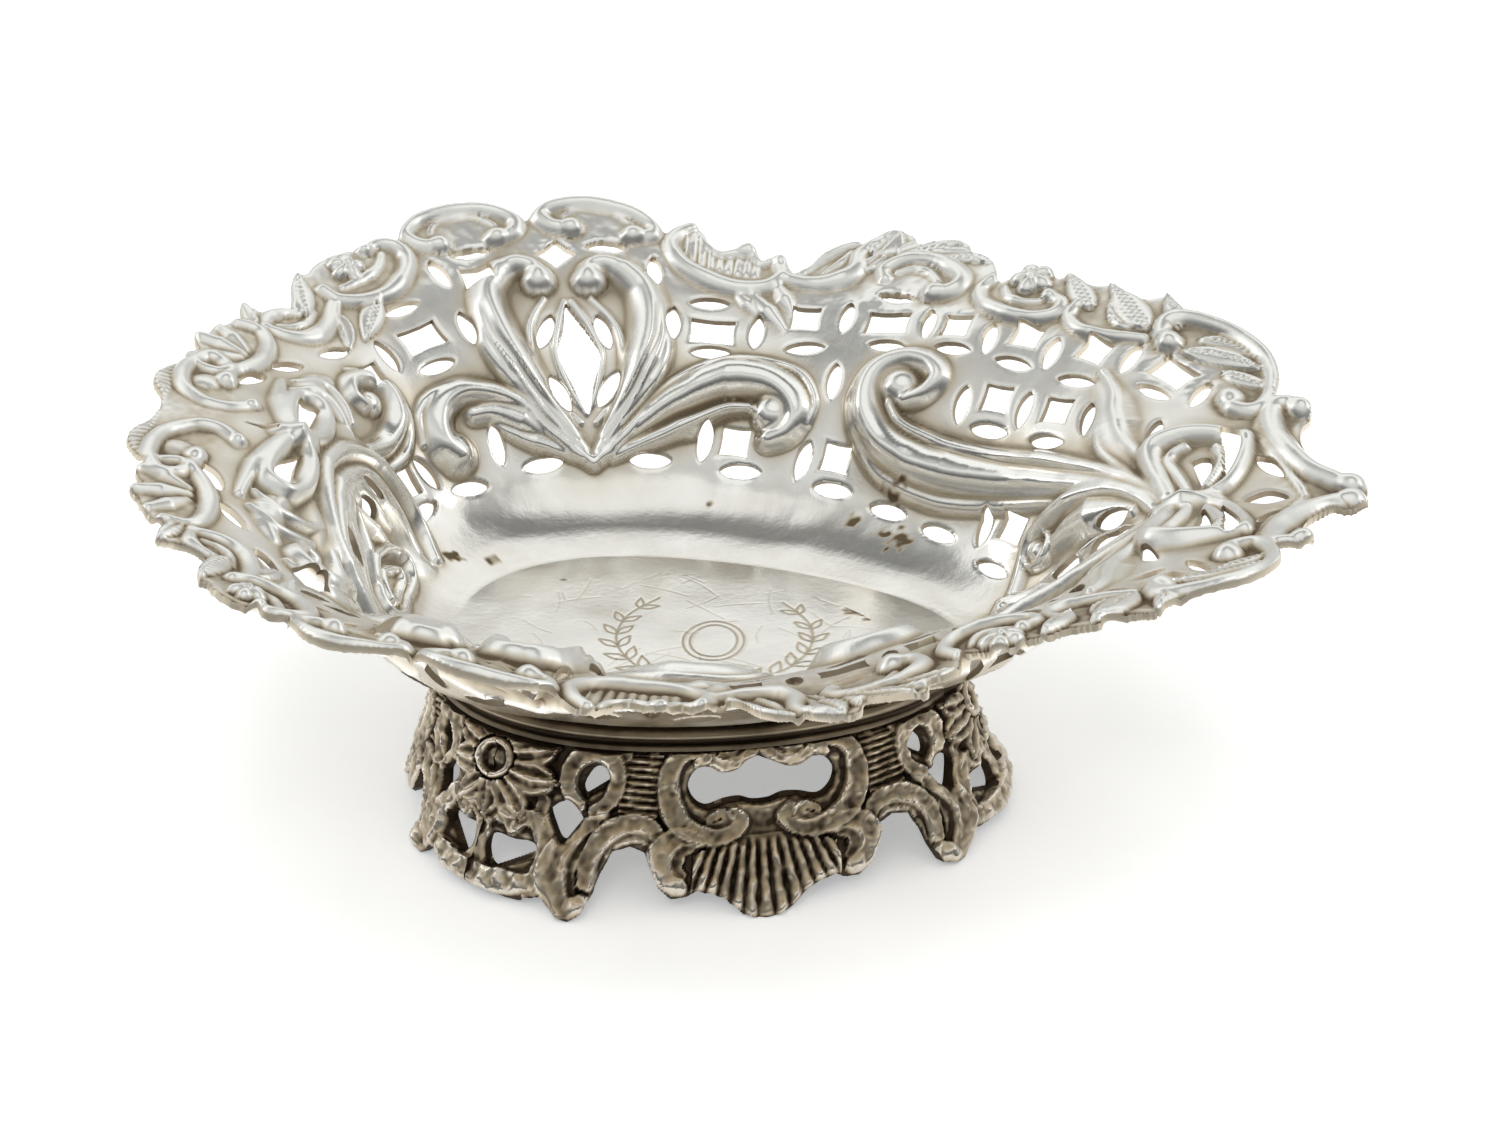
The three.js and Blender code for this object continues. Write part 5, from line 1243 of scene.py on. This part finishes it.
# Collar

# Section of the collar: share of the way out from the floor plan to the collar's own, share of its height
COLLAR_SECTION_SHARES = [
    (-0.4, 0.98), (0.2, 0.98), (0.62, 0.96), (0.72, 0.9), (0.66, 0.83), (0.45, 0.77), (0.42, 0.7),
    (0.62, 0.63), (0.86, 0.58), (1.02, 0.5), (1.07, 0.42), (1.0, 0.34), (0.82, 0.28), (0.72, 0.22),
    (0.78, 0.16), (0.95, 0.12), (1.02, 0.06), (1.0, 0.01), (0.5, 0.01), (-0.4, 0.01), (-0.42, 0.5),
]


def collar_piece():
    """The section swept round: each point goes from the floor plan to the collar plan by its own share. The
    hollows are stained: tone 1.1 (share - 1.04), with the bracket held between -0.6 and 0.05."""
    reach, up = closed_line(COLLAR_SECTION_SHARES, 5).T
    share, side = fold_round(np.arange(COLLAR_COLUMNS) * 2 / COLLAR_COLUMNS)
    x, y = between(FLOOR_PLAN, COLLAR_PLAN, np.interp(share, *SKIRT_TURN)[:, None], reach)
    z = np.broadcast_to(SKIRT_TOP + up * (FLOOR_HEIGHT - BOWL_GAUGE - SKIRT_TOP), x.shape)
    ids = np.arange(x.size).reshape(x.shape)
    beyond = np.roll(ids, -1, 0)
    faces = quads(ids.ravel(), beyond.ravel(), np.roll(beyond, -1, 1).ravel(), np.roll(ids, -1, 1).ravel())
    tone = np.broadcast_to(np.clip(reach - 1.04, -0.6, 0.05) * 1.1, x.shape)
    finish_piece("collar_ring", np.stack([x, y * side[:, None], z], -1).reshape(-1, 3), faces, tone.ravel(),
                 foot_silver, "foot_collar")


collar_piece()


# Floor, light and camera

TABLE_HALF = 6.0
TABLE_COLOR, TABLE_ROUGHNESS, TABLE_SHINE = (0.93, 0.93, 0.93, 1), 0.9, 0.1
TABLE_GLOW, TABLE_LIFT = (0.96, 0.98, 1, 1), 0.37
# Studio walls behind the dish and before it: sine of the height above the table, then brightness
BACK_WALL = [(0.0, 0.5), (0.3, 0.62), (0.46, 0.8), (0.55, 1.0), (0.77, 1.0), (0.83, 0.2), (0.92, 0.16),
             (0.97, 0.95)]
FRONT_WALL = [(0.0, 0.09), (0.3, 0.14), (0.52, 0.34), (0.7, 0.76), (0.84, 0.58), (0.91, 0.95), (0.99, 0.9)]
WALL_TINT = 0.985
# How far back a direction points where the wall before the dish ends and the wall behind it begins
WALL_MEET = (-0.35, 0.45)


def stage_floor():
    """Pale table top: matt, and lifted to white for the camera and for mirrors, with the shadow kept."""
    mesh = bpy.data.meshes.new("table_top")
    half = TABLE_HALF
    corners = [(-half, -half, 0), (half, -half, 0), (half, half, 0), (-half, half, 0)]
    mesh.from_pydata(corners, [], [(0, 1, 2, 3)])
    floor = placed("table_top", mesh)
    material, tree, shader = new_material("pale_table")
    shader.inputs["Base Color"].default_value = TABLE_COLOR
    shader.inputs["Roughness"].default_value = TABLE_ROUGHNESS
    shader.inputs["Specular IOR Level"].default_value = TABLE_SHINE
    shader.inputs["Emission Color"].default_value = TABLE_GLOW
    path = node_of(tree, "ShaderNodeLightPath").outputs
    seen = worked_out(tree, "ADD", path["Is Camera Ray"], path["Is Glossy Ray"], clamp=True)
    tree.links.new(worked_out(tree, "MULTIPLY", seen, TABLE_LIFT), shader.inputs["Emission Strength"])
    floor.data.materials.append(material)


def wall_color(tree, levels, height):
    """Grey at a height from (height, brightness) pairs, a little greenish."""
    ramp = node_of(tree, "ShaderNodeValToRGB", {"Fac": height})
    elements = ramp.color_ramp.elements
    ramp.color_ramp.interpolation = "EASE"
    while len(elements) < len(levels):
        elements.new(0.5)
    for element, (position, level) in zip(elements, levels):
        element.position = position
        element.color = (level * WALL_TINT, level, level * WALL_TINT, 1)
    return ramp.outputs["Color"]


def studio_world():
    """White to the camera. To the silver, a white wall behind the dish and a dimmer room before it."""
    world = bpy.data.worlds.new("studio")
    bpy.context.scene.world = world
    world.use_nodes = True
    tree = world.node_tree
    direction = node_of(tree, "ShaderNodeTexCoord").outputs["Generated"]
    split = node_of(tree, "ShaderNodeSeparateXYZ", {0: direction}).outputs
    behind = node_of(tree, "ShaderNodeMapRange", {"Value": split["Y"], "From Min": WALL_MEET[0],
                                                  "From Max": WALL_MEET[1]}, interpolation_type="SMOOTHSTEP")
    back, front = [wall_color(tree, levels, split["Z"]) for levels in (BACK_WALL, FRONT_WALL)]
    room = node_of(tree, "ShaderNodeMix", {0: behind.outputs["Result"], 6: front, 7: back}, data_type="RGBA")
    ray = node_of(tree, "ShaderNodeLightPath").outputs["Is Camera Ray"]
    shown = node_of(tree, "ShaderNodeMix", {0: ray, 6: room.outputs[2], 7: (1, 1, 1, 1)}, data_type="RGBA")
    tree.links.new(shown.outputs[2], tree.nodes["Background"].inputs["Color"])
    tree.nodes["Background"].inputs["Strength"].default_value = 1.0


LAMP_AIM = np.array([0, 0, 0.03])
# Lamps: name, place, width and height in metres, watts, and whether the silver mirrors it
LAMPS = [
    ("overhead", (0.05, -0.12, 1.1), (0.9, 0.6), 4.6, False),
    ("front", (-0.1, -0.85, 0.85), (0.5, 0.4), 2.2, False),
    ("left", (-1.1, 0.15, 0.6), (0.34, 0.5), 0.62, True),
    ("right", (1.1, 0.25, 0.75), (0.34, 0.5), 0.55, True),
]


def softbox(name, place, size, power, mirrored):
    """Area lamp facing the dish."""
    lamp = bpy.data.lights.new(name, "AREA")
    lamp.shape = "RECTANGLE"
    lamp.size, lamp.size_y = size
    lamp.energy = power
    holder = placed(name, lamp)
    back = unit(np.array(place) - LAMP_AIM)
    side = unit(np.cross((0, 1, 0) if abs(back[2]) > 0.95 else (0, 0, 1), back))
    set_axes(holder, side, np.cross(back, side), back, place)
    holder.visible_glossy = mirrored


CAMERA_ELEVATION_DEGREES = 28.0
CAMERA_HEADING_DEGREES = -4.64
CAMERA_FOCUS_PIXELS = 5500.0
PHOTO_WIDTH_PIXELS = 1500
SENSOR_WIDTH = 36.0
# Where the dish's origin lies from the camera: right, up and away, in mm
CAMERA_TO_DISH = np.array([1.557, -32.359, 806.277])


def photo_camera():
    """Camera axes: right, up and away are the rows of a heading turn followed by an elevation tilt."""
    tilt, turn = np.radians(CAMERA_ELEVATION_DEGREES), np.radians(CAMERA_HEADING_DEGREES)
    heading = np.array([[np.cos(turn), -np.sin(turn), 0], [np.sin(turn), np.cos(turn), 0], [0, 0, 1]])
    tilting = np.array([[1, 0, 0], [0, np.sin(tilt), np.cos(tilt)], [0, np.cos(tilt), -np.sin(tilt)]])
    looking = tilting @ heading
    camera = bpy.data.cameras.new("camera")
    camera.sensor_width = SENSOR_WIDTH
    camera.lens = CAMERA_FOCUS_PIXELS / PHOTO_WIDTH_PIXELS * SENSOR_WIDTH
    camera.clip_start, camera.clip_end = 0.01, 30
    holder = placed("camera", camera)
    set_axes(holder, looking[0], looking[1], -looking[2], (SHIFT - looking.T @ CAMERA_TO_DISH) * MM)
    bpy.context.scene.camera = holder


stage_floor()
studio_world()
for lamp_row in LAMPS:
    softbox(*lamp_row)
photo_camera()

scene = bpy.context.scene
scene.view_settings.view_transform = "Standard"
